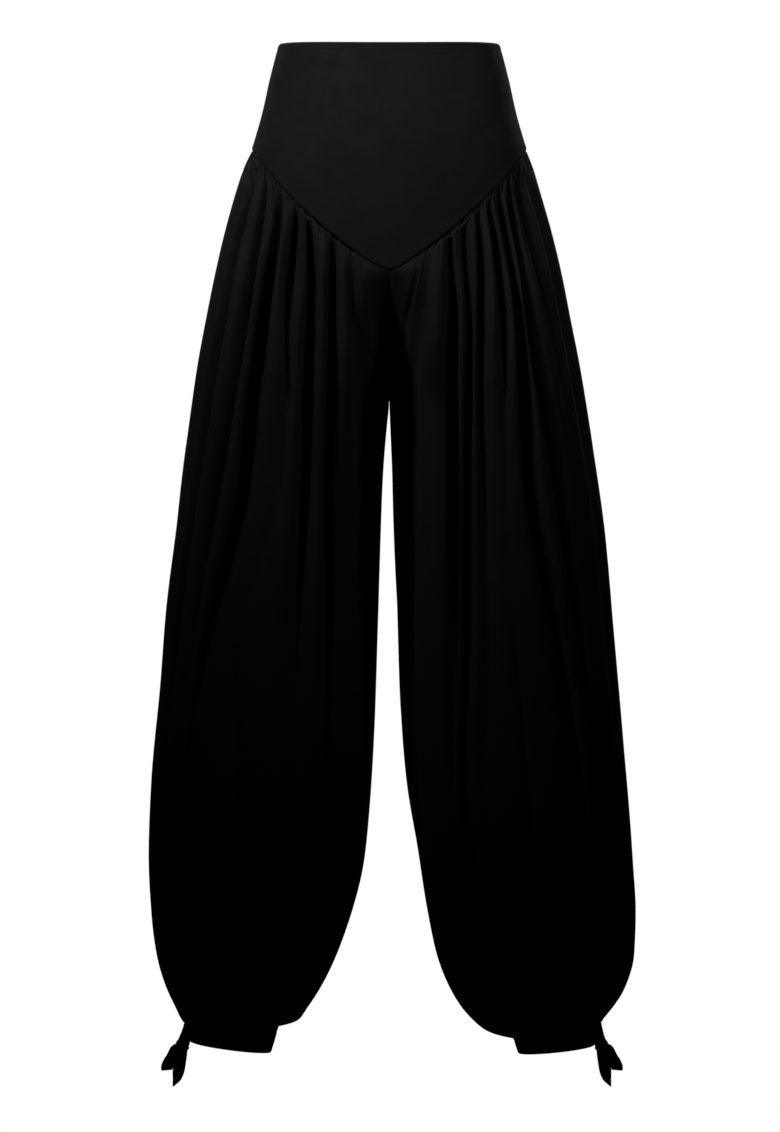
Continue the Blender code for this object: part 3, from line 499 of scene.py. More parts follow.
def yoke_seam_drop(face, angle):
    across = np.hypot(np.cos(np.radians(angle)), YOKE_POINT_ROUNDING) - YOKE_POINT_ROUNDING
    widest = math.hypot(1, YOKE_POINT_ROUNDING) - YOKE_POINT_ROUNDING
    towards_point = 1 - across / widest
    fall = (YOKE_POINT_DROP[face] - YOKE_SIDE_DROP) * towards_point
    return YOKE_SIDE_DROP + fall + 4 * YOKE_SEAM_BOW * towards_point * (1 - towards_point)


def waist_drop(face, angle):
    dip = WAIST_DIP if face == FRONT else 0
    return dip * np.sin(np.radians(angle)) ** 2


def yoke_normal(face, angle, drop):
    step = 1.0
    along = yoke_surface(face, angle + step, drop) - yoke_surface(face, angle - step, drop)
    down = yoke_surface(face, angle, drop + step) - yoke_surface(face, angle, drop - step)
    return unit(np.cross(along, down) * -face)


def fold_arcs(folds, ring, lengths):
    """Where a ring meets the folds' bottoms, as lengths along it from the side seam."""
    drops = -ring[:, 2]
    arcs = []
    for index, fold in enumerate(folds):
        line = curve_through(drops, FOLD_DROPS, fold[: len(FOLD_DROPS)])
        past = np.maximum.accumulate(line - ring[:, 0])
        arcs.append(max(np.interp(0, past, lengths), LEAST_ARC * (index + 1)))
    return np.array(arcs)


def crest_places(valleys, last):
    crests = np.concatenate([[0], (valleys[1:] + valleys[:-1]) / 2])
    beyond = min(2 * valleys[-1] - crests[-1], (valleys[-1] + last) / 2)
    return np.append(crests, beyond)


def fullness(turn, square):
    """How much further than an ellipse a section reaches, past its middle, at each angle."""
    power = np.where(turn > math.pi / 2, square, 2.0)
    return (np.abs(np.cos(turn)) ** power + np.abs(np.sin(turn)) ** power) ** (-1 / power)


def section_ring(section, face, places):
    """Points of one section, for shares from the side seam (0) to the inner seam (1)."""
    last_turn = math.radians(180 - section.fork)
    reach = -math.cos(last_turn) * fullness(last_turn, section.square)
    turn = places * last_turn
    full = fullness(turn, section.square)
    inward = (1 - full * np.cos(turn)) / (1 + reach)
    x = section.outer_x + (section.inner_x - section.outer_x) * inward
    inner_drop, depth = section.front_drop, section.front
    if face == BACK:
        inner_drop, depth = section.back_drop, section.back
    drop = section.outer_drop + (inner_drop - section.outer_drop) * inward
    return np.stack([x, face * depth * full * np.sin(turn), -drop], axis=-1)


def grid_normals(points, face):
    along = np.gradient(points, axis=1)
    down = np.gradient(points, axis=0)
    return unit(np.cross(along, down) * -face)


# ---------------- meshes
def grid_faces(rows, columns, start, turned, closed=False):
    across = columns if closed else columns - 1
    row = np.arange(rows - 1)[:, None] * columns
    column = np.arange(across)[None, :]
    beside = (column + 1) % columns
    corners = [row + column, row + beside, row + columns + beside, row + columns + column]
    if turned:
        corners.reverse()
    return np.stack([corner.ravel() + start for corner in corners], axis=1)


def rim_of(rows, columns):
    """The points round a grid's edge, in order."""
    rim = list(range(columns))
    rim += [row * columns + columns - 1 for row in range(1, rows)]
    rim += [(rows - 1) * columns + column for column in range(columns - 2, -1, -1)]
    rim += [row * columns for row in range(rows - 2, 0, -1)]
    return np.array(rim)


def cloth_lengths(grid):
    """Each point's place on the cloth: along its row from the middle, and down its column."""
    along = np.cumsum(np.linalg.norm(np.diff(grid, axis=1, prepend=grid[:, :1]), axis=2), axis=1)
    down = np.cumsum(np.linalg.norm(np.diff(grid, axis=0, prepend=grid[:1]), axis=2), axis=0)
    middle = along[:, along.shape[1] // 2][:, None]
    return np.stack([along - middle, down], axis=-1).reshape(-1, 2)


def add_piece(name, points, faces, slot, replaced=(), cloth_uv=None):
    """A smooth mesh piece from points in millimetres, riding on the trousers."""
    mesh = bpy.data.meshes.new(name)
    mesh.from_pydata((points * MM).tolist(), [], [list(map(int, face)) for face in faces])
    sculpt = bmesh.new()
    sculpt.from_mesh(mesh)
    turned_in = sculpt.calc_volume(signed=True) < 0
    sculpt.free()
    if turned_in:
        mesh.flip_normals()
    if cloth_uv is not None:
        layer = mesh.uv_layers.new(name=CLOTH_MAP)
        corner_points = np.empty(len(mesh.loops), np.int32)
        mesh.loops.foreach_get("vertex_index", corner_points)
        layer.uv.foreach_set("vector", (cloth_uv[corner_points] * MM).astype(np.float32).ravel())
    mesh.shade_smooth()
    mesh.set_sharp_from_angle(angle=math.radians(SMOOTH_BELOW))
    mesh.materials.append(MATERIALS[slot])
    piece = bpy.data.objects.new(name, mesh)
    bpy.context.scene.collection.objects.link(piece)
    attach(piece, "trousers")
    if replaced:
        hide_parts(*replaced)
    return piece


def cloth_shell(name, outer, inner, slot, replaced=()):
    """A closed thin shell between two grids of points."""
    rows, columns = outer.shape[:2]
    points = np.concatenate([outer.reshape(-1, 3), inner.reshape(-1, 3)])
    below = rows * columns
    rim = rim_of(rows, columns)
    after = np.roll(rim, -1)
    edge = np.stack([after, rim, below + rim, below + after], axis=1)
    skins = [grid_faces(rows, columns, 0, False), grid_faces(rows, columns, below, True)]
    uv = np.tile(cloth_lengths(outer), (2, 1))
    return add_piece(name, points, np.concatenate([*skins, edge]), slot, replaced, uv)


def cloth_tube(name, outer, inner, slot, replaced=()):
    """A closed band: its outer skin goes round the lower edge and up the inner one."""
    loops = np.concatenate([outer, inner[::-1]])
    loops = np.concatenate([loops, loops[:1]])
    rows, columns = loops.shape[:2]
    faces = grid_faces(rows, columns, 0, False, closed=True) % ((rows - 1) * columns)
    uv = cloth_lengths(loops)[: (rows - 1) * columns]
    return add_piece(name, loops[:-1].reshape(-1, 3), faces, slot, replaced, uv)


def loft(name, loops, slot, replaced=()):
    """A closed solid along a row of loops, with flat ends."""
    rows, columns = loops.shape[:2]
    faces = [list(face) for face in grid_faces(rows, columns, 0, False, closed=True)]
    faces.append(list(range(columns))[::-1])
    faces.append(list(range((rows - 1) * columns, rows * columns)))
    return add_piece(name, loops.reshape(-1, 3), faces, slot, replaced, cloth_lengths(loops))


# ---------------- yoke
def rows_between(top, bottom):
    """Levels from edge to edge, crowded at both."""
    steps = np.array(EDGE_STEPS)[:, None]
    upper, lower = top + steps, bottom - steps[::-1]
    share = np.linspace(0, 1, YOKE_MIDDLE_ROWS + 2)[1:-1, None]
    return np.concatenate([upper, upper[-1] + (lower[0] - upper[-1]) * share, lower])


def yoke_skins(face, angles):
    top, bottom = waist_drop(face, angles), yoke_seam_drop(face, angles)
    drop = rows_between(top, bottom)
    angle = np.broadcast_to(angles, drop.shape)
    outer = yoke_surface(face, angle, drop)
    normal = yoke_normal(face, angle, drop)
    from_top, from_seam, from_side = drop - top, bottom - drop, np.abs(outer[..., 1])
    relief = lines_relief(from_top, TOP_LINES) + lines_relief(from_seam, YOKE_SEAM_LINES)
    relief += lines_relief(from_side, SIDE_LINES)
    for dent in DENTS[face]:
        along = (outer[..., 0] - dent.x) / dent.half_length
        below = drop - dent.drop - dent.slope * (outer[..., 0] - dent.x)
        relief += dent.depth * np.exp(-(along**2) - (below / dent.width) ** 2)
    if face == BACK:
        relief += lines_relief(np.abs(outer[..., 0]), SLOT_LINES)
    outer = outer - relief[..., None] * normal
    inner = outer - YOKE_SHELL * normal
    for skin in (outer, inner):
        skin[-1, :, 2] += YOKE_SEAM_GAP / 2
    return outer, inner


def yoke_half_angles(last):
    """Columns from a side seam to the last angle, crowded at the seam."""
    near_side = np.degrees(np.arcsin(np.array(EDGE_STEPS) / YOKE_SECTIONS[2].front))
    return np.concatenate([near_side, np.linspace(near_side[-1], last, YOKE_MIDDLE_COLUMNS + 1)[1:]])


def build_yokes():
    half = yoke_half_angles(90)
    skins = yoke_skins(FRONT, np.concatenate([half, 180 - half[-2::-1]]))
    for skin in skins:
        skin[:, [0, -1], 1] += FRONT * SEAM_GAP / 2
    yoke = cloth_shell("front_yoke_cloth", *skins, "black_cloth", ("front_yoke",))
    for side in (LEFT, RIGHT):
        slot_angle = 90 - math.degrees(BACK_SLOT / YOKE_SECTIONS[0].half_width)
        half = np.append(yoke_half_angles(slot_angle - 2.4), slot_angle - np.linspace(2, 0, 6))
        skins = yoke_skins(BACK, half)
        for skin in skins:
            skin[:, 0, 1] += BACK * SEAM_GAP / 2
            skin[:, -1, 0] = BACK_SLOT
            skin[..., 0] *= side
        name = "back_yoke_" + SIDE_NAME[side]
        yoke = cloth_shell(name + "_cloth", *skins, "black_cloth", (name,))


# ---------------- legs
def fine_rows():
    near_seam = np.linspace(0, 1, SEAM_ROW_STEPS + 1) ** SEAM_ROW_CROWDING
    runs = [np.linspace(run.start, run.end, run.steps + 1)[1:] for run in ROW_RUNS]
    return np.concatenate([near_seam, *runs])


def fine_rings(side, face, rows):
    """Sections of the smooth form at fine rows, with each one's angles about the leg's axis."""
    shares = np.linspace(0, 1, RING_SAMPLES)
    rings = [yoke_surface(face, 90 * shares, yoke_seam_drop(face, 90 * shares))]
    rings += [section_ring(section, face, shares) for section in LEG_SECTIONS[side]]
    inner_xs = np.array([0.0] + [section.inner_x for section in LEG_SECTIONS[side]])
    rings = between_levels(rows, np.array(rings))
    for ring, inner_x in zip(rings, between_levels(rows, inner_xs)):
        axis_x = (ring[0, 0] + inner_x) / 2
        angles = np.degrees(np.arctan2(np.abs(ring[:, 1]), ring[:, 0] - axis_x))
        yield ring, np.maximum.accumulate(angles)


def fine_columns(valleys, crests, inner_angle):
    """Columns from crest to valley to crest, crowded towards the valleys and the seams."""
    share = np.linspace(0, 1, HALF_FOLD_COLUMNS + 1)
    towards = 1 - (1 - share) ** CROWDING
    first = (1 - np.cos(math.pi * np.linspace(0, 1, HALF_FOLD_COLUMNS + SEAM_COLUMNS + 1))) / 2
    columns = []
    for index, valley in enumerate(valleys):
        before, after = crests[index], crests[index + 1]
        columns.append(before + (valley - before) * (towards if index else first)[:-1])
        columns.append(after + (valley - after) * towards[:0:-1])
    inner = 1 - (1 - np.linspace(0, 1, INNER_COLUMNS + 1)) ** INNER_CROWDING
    columns.append(crests[-1] + (inner_angle - crests[-1]) * inner)
    return np.concatenate(columns)


def leg_plan(side, face):
    """Random unevenness of a panel's folds, the same each time."""
    draw = np.random.default_rng([SEED, side + 1, face + 1])
    count = len(FOLDS[face, side])
    return {
        "tip": side * face,
        "lean": draw.uniform(-1, 1, count),
        "phase": draw.uniform(0, 2 * math.pi, count),
        "pace": draw.uniform(0.7, 1.5, count),
        "gather": draw.uniform(0.55, 1.0, count + 1),
        "gather_end": draw.uniform(*GATHER_FADE, count + 1),
        "pucker": draw.uniform(0.35, 1.0, 2 * count),
        "pucker_end": draw.uniform(*PUCKER_FADE, 2 * count),
        "swell": draw.uniform(0, 2 * math.pi, 4),
        "tuck": draw.uniform(0.3, 1.0, TUCK_COUNT),
        "tuck_end": draw.uniform(*TUCK_FADE, TUCK_COUNT),
        "tuck_shift": draw.uniform(-0.3, 0.3, TUCK_COUNT),
    }


def crease_sum(arcs, lines, depths, widths):
    """The depth of several troughs along a row."""
    apart = arcs[None, :] - lines[:, None]
    return (depths[:, None] * trough(apart, widths[:, None])).sum(axis=0)


def width_of(spacing, width):
    return np.clip(width.share * spacing, width.least, width.most)


def row_relief(row, drops, arcs, valleys, crests, folds, plan):
    """How far each point of a row lies inside the smooth form, from the arcs of its folds."""
    begun = ramp(row, 0, SEAM_RISE)
    opened = ramp(row, *FOLD_RISE)
    rounded = ramp(row, *FOLD_ROUNDING_RISE)
    taper = FOLD_TAPER[0] + (1 - FOLD_TAPER[0]) * ramp(row, 0, FOLD_TAPER[1])
    at_cuff = ramp(row, *CUFF_FOLD_RISE)
    ended = 1 - ramp(row, CUFF_FOLD_END, CUFF_ROW)
    relief = np.zeros_like(arcs)
    for index, fold in enumerate(folds):
        apart = arcs - valleys[index]
        depth = np.interp(np.interp(0, apart, drops), DEPTH_DROPS, fold[len(FOLD_DROPS) : -1])
        depth *= FOLD_DEEPENING * (1 - at_cuff)
        depth *= 1 + FOLD_UNEVENNESS * math.sin(row * plan["pace"][index] + plan["phase"][index])
        pinch = CUFF_FOLD_DEPTH * at_cuff * ended
        reach = np.where(apart < 0, valleys[index] - crests[index], crests[index + 1] - valleys[index])
        lean = np.where(apart < 0, 1, -1) * (FOLD_LEAN * plan["lean"][index] + FOLD_TIP * plan["tip"])
        width = np.minimum(fold.wide * FOLD_WIDENING, reach * CREASE_SHARE) * (1 + lean) * taper
        wave = (1 + np.cos(math.pi * np.clip(np.abs(apart) / reach, 0, 1))) / 2
        relief += (depth * rounded + pinch) * ROUNDNESS * wave
        relief += (depth * opened + pinch) * (1 - ROUNDNESS) * trough(apart, width)
    spacing = np.gradient(crests)
    fade = 1 - ramp(row, plan["gather_end"] - 1.6, plan["gather_end"])
    gathered = CUFF_GATHER * ramp(row, *CUFF_GATHER_RISE) * ended
    strength = GATHER_DEPTH * plan["gather"] * (fade * begun + gathered)
    strength[0] = 0
    strength[-1] *= 0.6
    relief += crease_sum(arcs, crests, strength, width_of(spacing, GATHER_WIDTH))
    quarters = np.concatenate([(crests[:-1] + valleys) / 2, (crests[1:] + valleys) / 2])
    near = np.tile(np.diff(crests), 2)
    fade = 1 - ramp(row, plan["pucker_end"] * 0.35, plan["pucker_end"])
    gathered = CUFF_PUCKER * ramp(row, *CUFF_PUCKER_RISE) * ended
    strength = PUCKER_DEPTH * plan["pucker"] * (fade * ramp(row, *PUCKER_RISE) + gathered)
    return relief + crease_sum(arcs, quarters, strength, width_of(near, PUCKER_WIDTH))


def seam_tucks(row, arcs, plan):
    """The small gathers just below the yoke's seam."""
    places = (np.arange(TUCK_COUNT) + 0.5 + plan["tuck_shift"]) * arcs[-1] / TUCK_COUNT
    fade = 1 - ramp(row, plan["tuck_end"] * 0.2, plan["tuck_end"])
    strength = TUCK_DEPTH * plan["tuck"] * fade * ramp(row, *TUCK_RISE)
    strength = strength * ramp(arcs[-1] - places, *TUCKLESS)
    widths = np.full(TUCK_COUNT, TUCK_WIDTH * (1 + TUCK_WIDENING * ramp(row, 0, 1.5)))
    return crease_sum(arcs, places, strength, widths)


def cross_creases(drops, angles, radius, face, side):
    relief = np.zeros_like(angles)
    for crease in CREASES[face, side]:
        share = np.clip((drops - crease.drop) / (crease.end_drop - crease.drop), 0, 1)
        middle = crease.angle + (crease.end_angle - crease.angle) * share
        apart = np.radians(angles - middle) * radius
        relief += crease.depth * np.sin(math.pi * share) ** 0.8 * trough(apart, crease.width)
    return relief


def soften_crotch(base, rows):
    """The cloth beside the crotch as it hangs, without the sharp bend of the levels there."""
    columns = np.linspace(0, 1, base.shape[1])
    near = trough(rows - CROTCH_ROW, CROTCH_SOFT_ROWS)[:, None] * ramp(columns, *CROTCH_SOFT_SHARE)
    near[:, -1] = 0
    for _ in range(CROTCH_PASSES):
        beside = (base[:-2, 1:-1] + base[2:, 1:-1] + base[1:-1, :-2] + base[1:-1, 2:]) / 4
        base[1:-1, 1:-1] += near[1:-1, 1:-1, None] * (beside - base[1:-1, 1:-1])
    return base


def hollow_share(face, drops, from_seam):
    share = HOLLOW_DEPTH[face] * np.interp(drops, HOLLOW_DROPS, HOLLOW_SHARES)
    return share * (1 - ramp(from_seam, *HOLLOW_REACH))


def leg_form(side, face):
    """The outer skin of a leg panel, as for the left leg, with its folds."""
    folds = FOLDS[face, side]
    plan = leg_plan(side, face)
    rows = fine_rows()
    even = CUFF_GATHER_SHARE * (np.arange(len(folds)) + 0.5) / len(folds)
    base, relief = [], []
    for row, (ring, ring_angles) in zip(rows, fine_rings(side, face, rows)):
        lengths = np.linalg.norm(np.diff(ring, axis=0, prepend=ring[:1]), axis=1).cumsum()
        if row < EVEN_ROWS[0]:
            valleys = fold_arcs(folds, ring, lengths)
            shares = valleys / lengths[-1]
        else:
            turned = ramp(row, *EVEN_ROWS)
            valleys = lengths[-1] * (shares * (1 - turned) + even * turned)
        crests = crest_places(valleys, lengths[-1])
        arcs = fine_columns(valleys, crests, lengths[-1])
        angles = np.interp(arcs, lengths, ring_angles)
        base.append(on_path(arcs, lengths, ring))
        drops = -base[-1][:, 2]
        base[-1][:, 1] *= 1 - hollow_share(face, drops, base[-1][:, 0] - ring[-1, 0])
        dip = row_relief(row, drops, arcs, valleys, crests, folds, plan)
        if row < TUCK_FADE[1]:
            dip += seam_tucks(row, arcs, plan)
        dip += cross_creases(drops, angles, (ring[0, 0] - ring[-1, 0]) / 2, face, side)
        around = np.radians(angles)
        for turn, (phase, length) in enumerate(zip(plan["swell"], SWELL_LENGTHS)):
            dip += SWELL * np.sin(around * (turn + 2) + drops / length + phase) / 2
        level = np.sin(around) * ramp(row, 0, BULGE_ROWS[0]) * (1 - ramp(row, *BULGE_ROWS))
        dip -= BULGE * level
        from_inner = arcs[-1] - arcs
        dip *= ramp(arcs, 0, SEAM_FADE) * ramp(from_inner, 0, SEAM_FADE)
        inner_groove = INNER_GROOVE_SHARE * trough(from_inner, GROOVE_WIDTH)
        dip += GROOVE_DEPTH * (trough(arcs, GROOVE_WIDTH) + inner_groove)
        from_yoke, from_cuff = row * ROW_LENGTH, (CUFF_ROW - row) * CUFF_ROW_LENGTH
        dip += SEAM_TUCK * (trough(from_yoke, YOKE_TUCK_WIDTH) + trough(from_cuff, CUFF_TUCK_WIDTH))
        relief.append(dip)
    return soften_crotch(np.array(base), rows), np.array(relief), rows


def edge_normals(normals, base, rows, face):
    """Neighbours share the directions at their seams, so that their walls meet edge to edge."""
    down = np.gradient(base, axis=0)
    forwards, sideways = np.array([0.0, 1.0, 0.0]), np.array([1.0, 0.0, 0.0])
    above = rows < CROTCH_ROW - CROTCH_REACH
    below = rows > CROTCH_ROW + CROTCH_REACH
    normals[:, 0] = unit(np.cross(forwards, down[:, 0]) * -1)
    normals[above, -1] = unit(np.cross(sideways, down[above, -1]) * face)
    normals[~above & ~below, -1] = unit(np.array([-1.0, 0.0, -1.0]))
    normals[below, -1] = unit(np.cross(forwards, down[below, -1]))
    return normals


def allowance(name, path, outward, across):
    """A pressed-open seam allowance: a strip that lies inside along a seam."""
    middle = path - outward * ALLOWANCE_DEPTH
    under = middle - outward * ALLOWANCE_THICK
    spread = across * ALLOWANCE_HALF_WIDTH
    above = [middle - spread, middle, middle + spread]
    below = [under + spread, under, under - spread]
    loft(name, np.stack(above + below, axis=1), "black_cloth")


def build_leg_allowances(side, base, normals, rows):
    """Those of a leg's side seam and inside leg seam."""
    mirror = np.array([side, 1, 1])
    forwards = np.array([0.0, 1.0, 0.0])
    base, normals = base * mirror, normals * mirror
    name = SIDE_NAME[side]
    allowance("side_allowance_" + name, base[1:-2, 0], normals[1:-2, 0], forwards)
    below = rows > CROTCH_ROW + ALLOWANCE_LOW
    below[-2:] = False
    allowance("inseam_allowance_" + name, base[below, -1], normals[below, -1], forwards)


def build_centre_allowance(face, outer, rows):
    above = (rows > ALLOWANCE_TOP) & (rows < CROTCH_ROW - ALLOWANCE_HIGH)
    sideways = np.array([1.0, 0.0, 0.0])
    path = outer[above, -1] * (0, 1, 1)
    outward = unit(np.cross(sideways, np.gradient(path, axis=0)) * face)
    allowance("centre_allowance_" + FACE_NAME[face], path, outward, sideways)


def build_leg(side, face):
    base, relief, rows = leg_form(side, face)
    base_normals = edge_normals(grid_normals(base, face), base, rows, face)
    outer = base - relief[..., None] * base_normals
    normals = edge_normals(grid_normals(outer, face), base, rows, face)
    normals[-1] = normals[-2]
    skins = (outer, outer - LEG_SHELL * normals)
    joined = rows <= CROTCH_ROW
    for skin in skins:
        skin[:, 0, 1] += face * SEAM_GAP / 2
        skin[joined, -1, 0] += SEAM_GAP / 2
        skin[rows >= CROTCH_ROW, -1, 1] += face * SEAM_GAP / 2
        skin[0, :, 2] -= YOKE_SEAM_GAP / 2
        skin[..., 0] = np.maximum(skin[..., 0], SEAM_GAP / 2) * side
        skin[..., 1] = face * np.maximum(face * skin[..., 1], SEAM_GAP / 2)
    name = f"{FACE_NAME[face]}_leg_{SIDE_NAME[side]}"
    leg = cloth_shell(name + "_cloth", *skins, "black_cloth", (name,))
    if face == FRONT:
        build_leg_allowances(side, base, base_normals, rows)
    if side == LEFT:
        build_centre_allowance(face, base - relief[..., None] * base_normals, rows)


# ---------------- cuffs
def cuff_ring(outer_x, inner_x, half_depth, outer_drop, inner_drop, inset):
    turn = np.linspace(0, 2 * math.pi, CUFF_COLUMNS, endpoint=False)
    middle = (outer_x + inner_x) / 2
    half_width = (outer_x - inner_x) / 2
    towards_inner = (1 - np.cos(turn)) / 2
    drop = outer_drop + (inner_drop - outer_drop) * towards_inner
    x = middle + (half_width - inset) * np.cos(turn)
    y = (half_depth - inset) * np.sin(turn)
    return np.stack([x, y, -drop], axis=-1)


def build_cuff(side):
    end, hem = LEG_SECTIONS[side][-1], HEMS[side]
    outer_x, inner_x, half_depth = end.outer_x - SEAM_GAP, end.inner_x + SEAM_GAP, end.front - SEAM_GAP
    levels = np.array([(outer_x, inner_x, half_depth, end.outer_drop, end.front_drop), tuple(hem)])
    levels = np.concatenate([levels[:1], levels])
    levels[0, 3:] -= CUFF_TUCK
    share = np.concatenate([np.linspace(0, 1, 5)[:-1], 1 + np.linspace(0, 1, 22)])
    draw = np.random.default_rng([SEED, side + 1])
    phases = draw.uniform(0, 2 * math.pi, 3)
    turn = np.linspace(0, 2 * math.pi, CUFF_COLUMNS, endpoint=False)
    skins = []
    for inset in (0, CUFF_SHELL):
        skin = []
        for at in share:
            sizes = [np.interp(at, (0, 1, 2), levels[:, column]) for column in range(5)]
            from_hem = (2 - at) * (hem.outer_drop - end.outer_drop)
            from_seam = (at - 1) * (hem.outer_drop - end.outer_drop)
            if inset:
                rounding = lines_relief(from_hem, INNER_HEM_LINES)
            else:
                rounding = lines_relief(from_hem, HEM_LINES) + lines_relief(from_seam, CUFF_LINES)
            ring = cuff_ring(*sizes, inset + rounding)
            swell = sum(np.sin(turn * (k + 2) + phases[k] + at) for k in range(3))
            middle = ring.mean(axis=0)
            outward = unit((ring - middle) * (1, 1, 0))
            skin.append(ring + CUFF_SWELL * ramp(at, 1, 1.3) * swell[:, None] * outward)
        skins.append(np.array(skin) * (side, 1, 1))
    name = "cuff_" + SIDE_NAME[side]
    cuff = cloth_tube(name + "_cloth", *skins, "cuff_cloth", (name,))
    path = skins[0][-4] * 0.5 + skins[0][-3] * 0.5
    stitch_row(name + "_stitches", np.concatenate([path, path[:1]]), path.mean(axis=0), "cuff_cloth")


# ---------------- sewing
def rods(name, rings, slot):
    """One piece of short closed rods, each of them four rings long."""
    corners = len(rings[0])
    faces = []
    for start in range(0, len(rings) * corners, 4 * corners):
        faces += [list(face) for face in grid_faces(4, corners, start, False, closed=True)]
        faces.append([start + corner for corner in range(corners)][::-1])
        faces.append([start + 3 * corners + corner for corner in range(corners)])
    add_piece(name, np.concatenate(rings), faces, slot)


def stitch_row(name, path, centre, slot):
    """Short stitches along a path, standing just proud of the cloth, away from a centre."""
    lengths = np.linalg.norm(np.diff(path, axis=0, prepend=path[:1]), axis=1).cumsum()
    places = np.arange(STITCH_PITCH / 2, lengths[-1], STITCH_PITCH)
    middles = on_path(places, lengths, path)
    along = unit(on_path(places + 0.5, lengths, path) - on_path(places - 0.5, lengths, path))
    out = (middles - centre) * (1, 1, 0)
    out = unit(out - along * (out * along).sum(axis=1, keepdims=True))
    across = np.cross(along, out)
    turn = np.linspace(0, 2 * math.pi, STITCH_CORNERS, endpoint=False)
    rings = []
    for middle, forward, outward, sideways in zip(middles, along, out, across):
        for reach, size in STITCH_ENDS:
            centre_line = middle + forward * reach * STITCH_LENGTH / 2 - outward * STITCH_SINK
            ring = centre_line + size * STITCH_WIDTH / 2 * (
                np.cos(turn)[:, None] * sideways + np.sin(turn)[:, None] * outward
            )
            rings.append(ring)
    rods(name, rings, slot)


def build_waist_stitching():
    for face, first, last in ((FRONT, 1, 179), (BACK, 1, 88), (BACK, 92, 179)):
        angles = np.linspace(first, last, 180)
        drops = waist_drop(face, angles) + WAIST_STITCH_DROP
        path = yoke_surface(face, angles, drops)
        centre = path.mean(axis=0) * (1, 0, 1)
        path = path - STITCH_SINK * yoke_normal(face, angles, drops)
        stitch_row(f"waist_stitches_{FACE_NAME[face]}_{first}", path, centre, "black_cloth")


# ---------------- ties
def strap_loops(side, straps):
    end = LEG_SECTIONS[side][-1]
    table = np.array(straps)
    at = np.linspace(0, len(table) - 1, (len(table) - 1) * STRAP_STEPS + 1)
    out, y, drop, width, thick, facing = between_levels(at, table).T
    out = out + TIE_SHIFT[side] * ramp(drop, 0, 20)
    centres = np.stack([end.outer_x + out, y, -end.outer_drop - drop], axis=-1)
    along = unit(np.gradient(centres, axis=0))
    turn = np.linspace(0, 2 * math.pi, STRAP_CORNERS, endpoint=False)
    cos, sin = np.cos(turn), np.sin(turn)
    wide = np.sign(cos) * np.abs(cos) ** STRAP_ROUNDING
    flat = np.sign(sin) * np.abs(sin) ** STRAP_ROUNDING
    loops = []
    for index, (centre, direction) in enumerate(zip(centres, along)):
        turned = math.radians(facing[index])
        outward = np.array([math.cos(turned), -math.sin(turned), 0])
        outward = unit(outward - direction * outward.dot(direction))
        across = np.cross(direction, outward)
        curl = STRAP_CURL * (wide**2 - 0.4) * ramp(width[index], 8, 12) * ramp(6 - thick[index], 1, 4)
        bulge = (flat * thick[index] / 2 + curl)[:, None] * outward
        loops.append(centre + (wide * width[index] / 2)[:, None] * across + bulge)
    for index, size in STRAP_ENDS:
        middle = loops[index].mean(axis=0)
        loops[index] = middle + (loops[index] - middle) * size
    return np.array(loops) * (side, 1, 1)


def build_wrap(side):
    """The turn of the strip that holds the knot."""
    end, wrap = LEG_SECTIONS[side][-1], TIE_WRAP
    lean = math.radians(wrap.lean)
    turn = np.linspace(0, 2 * math.pi, WRAP_COLUMNS, endpoint=False)
    centre = np.array([end.outer_x + wrap.out + TIE_SHIFT[side], wrap.y, -end.outer_drop - wrap.drop])
    skins = []
    for inset in (0, WRAP_THICK):
        skin = []
        for place in np.linspace(-1, 1, WRAP_ROWS):
            swollen = 1 - WRAP_TAPER * place**4 + WRAP_SWELL * np.sin(turn * 3 + place * 4)
            ring = np.zeros((WRAP_COLUMNS, 3))
            ring[:, 0] = (wrap.half_width * swollen - inset) * np.cos(turn)
            ring[:, 1] = (wrap.half_depth * swollen - inset) * np.sin(turn)
            ring[:, 2] = -place * wrap.half_height * (1 - WRAP_PINCH * np.sin(turn))
            across = ring[:, 0] * math.cos(lean) + ring[:, 2] * math.sin(lean)
            ring[:, 2] = ring[:, 2] * math.cos(lean) - ring[:, 0] * math.sin(lean)
            ring[:, 0] = across
            skin.append((centre + ring) * (side, 1, 1))
        skins.append(np.array(skin))
    cloth_tube("tie_wrap_" + SIDE_NAME[side], *skins, "cuff_cloth")


def build_ties(side):
    for name, straps, flat in (
        ("tie_tail_back_", TIE_TAIL_BACK, (0.0125, 0.0285)),
        ("tie_tail_front_", TIE_TAIL_FRONT, (0.0125, 0.0345)),
    ):
        name += SIDE_NAME[side]
        tail = loft(name + "_cloth", strap_loops(side, straps), "cuff_cloth", (name,))
    knot_name = "tie_knot_" + SIDE_NAME[side]
    loft(knot_name + "_cloth", strap_loops(side, TIE_KNOT), "cuff_cloth", (knot_name,))
    build_wrap(side)


# ---------------- zip
def back_line(x, drop, inset):
    """A point near the centre back, a distance inside the yoke's outer skin."""
    half_width = yoke_surface(BACK, 0.0, drop)[0]
    angle = np.degrees(np.arccos(x / half_width))
    return yoke_surface(BACK, angle, drop) - inset * yoke_normal(BACK, 90.0, drop)


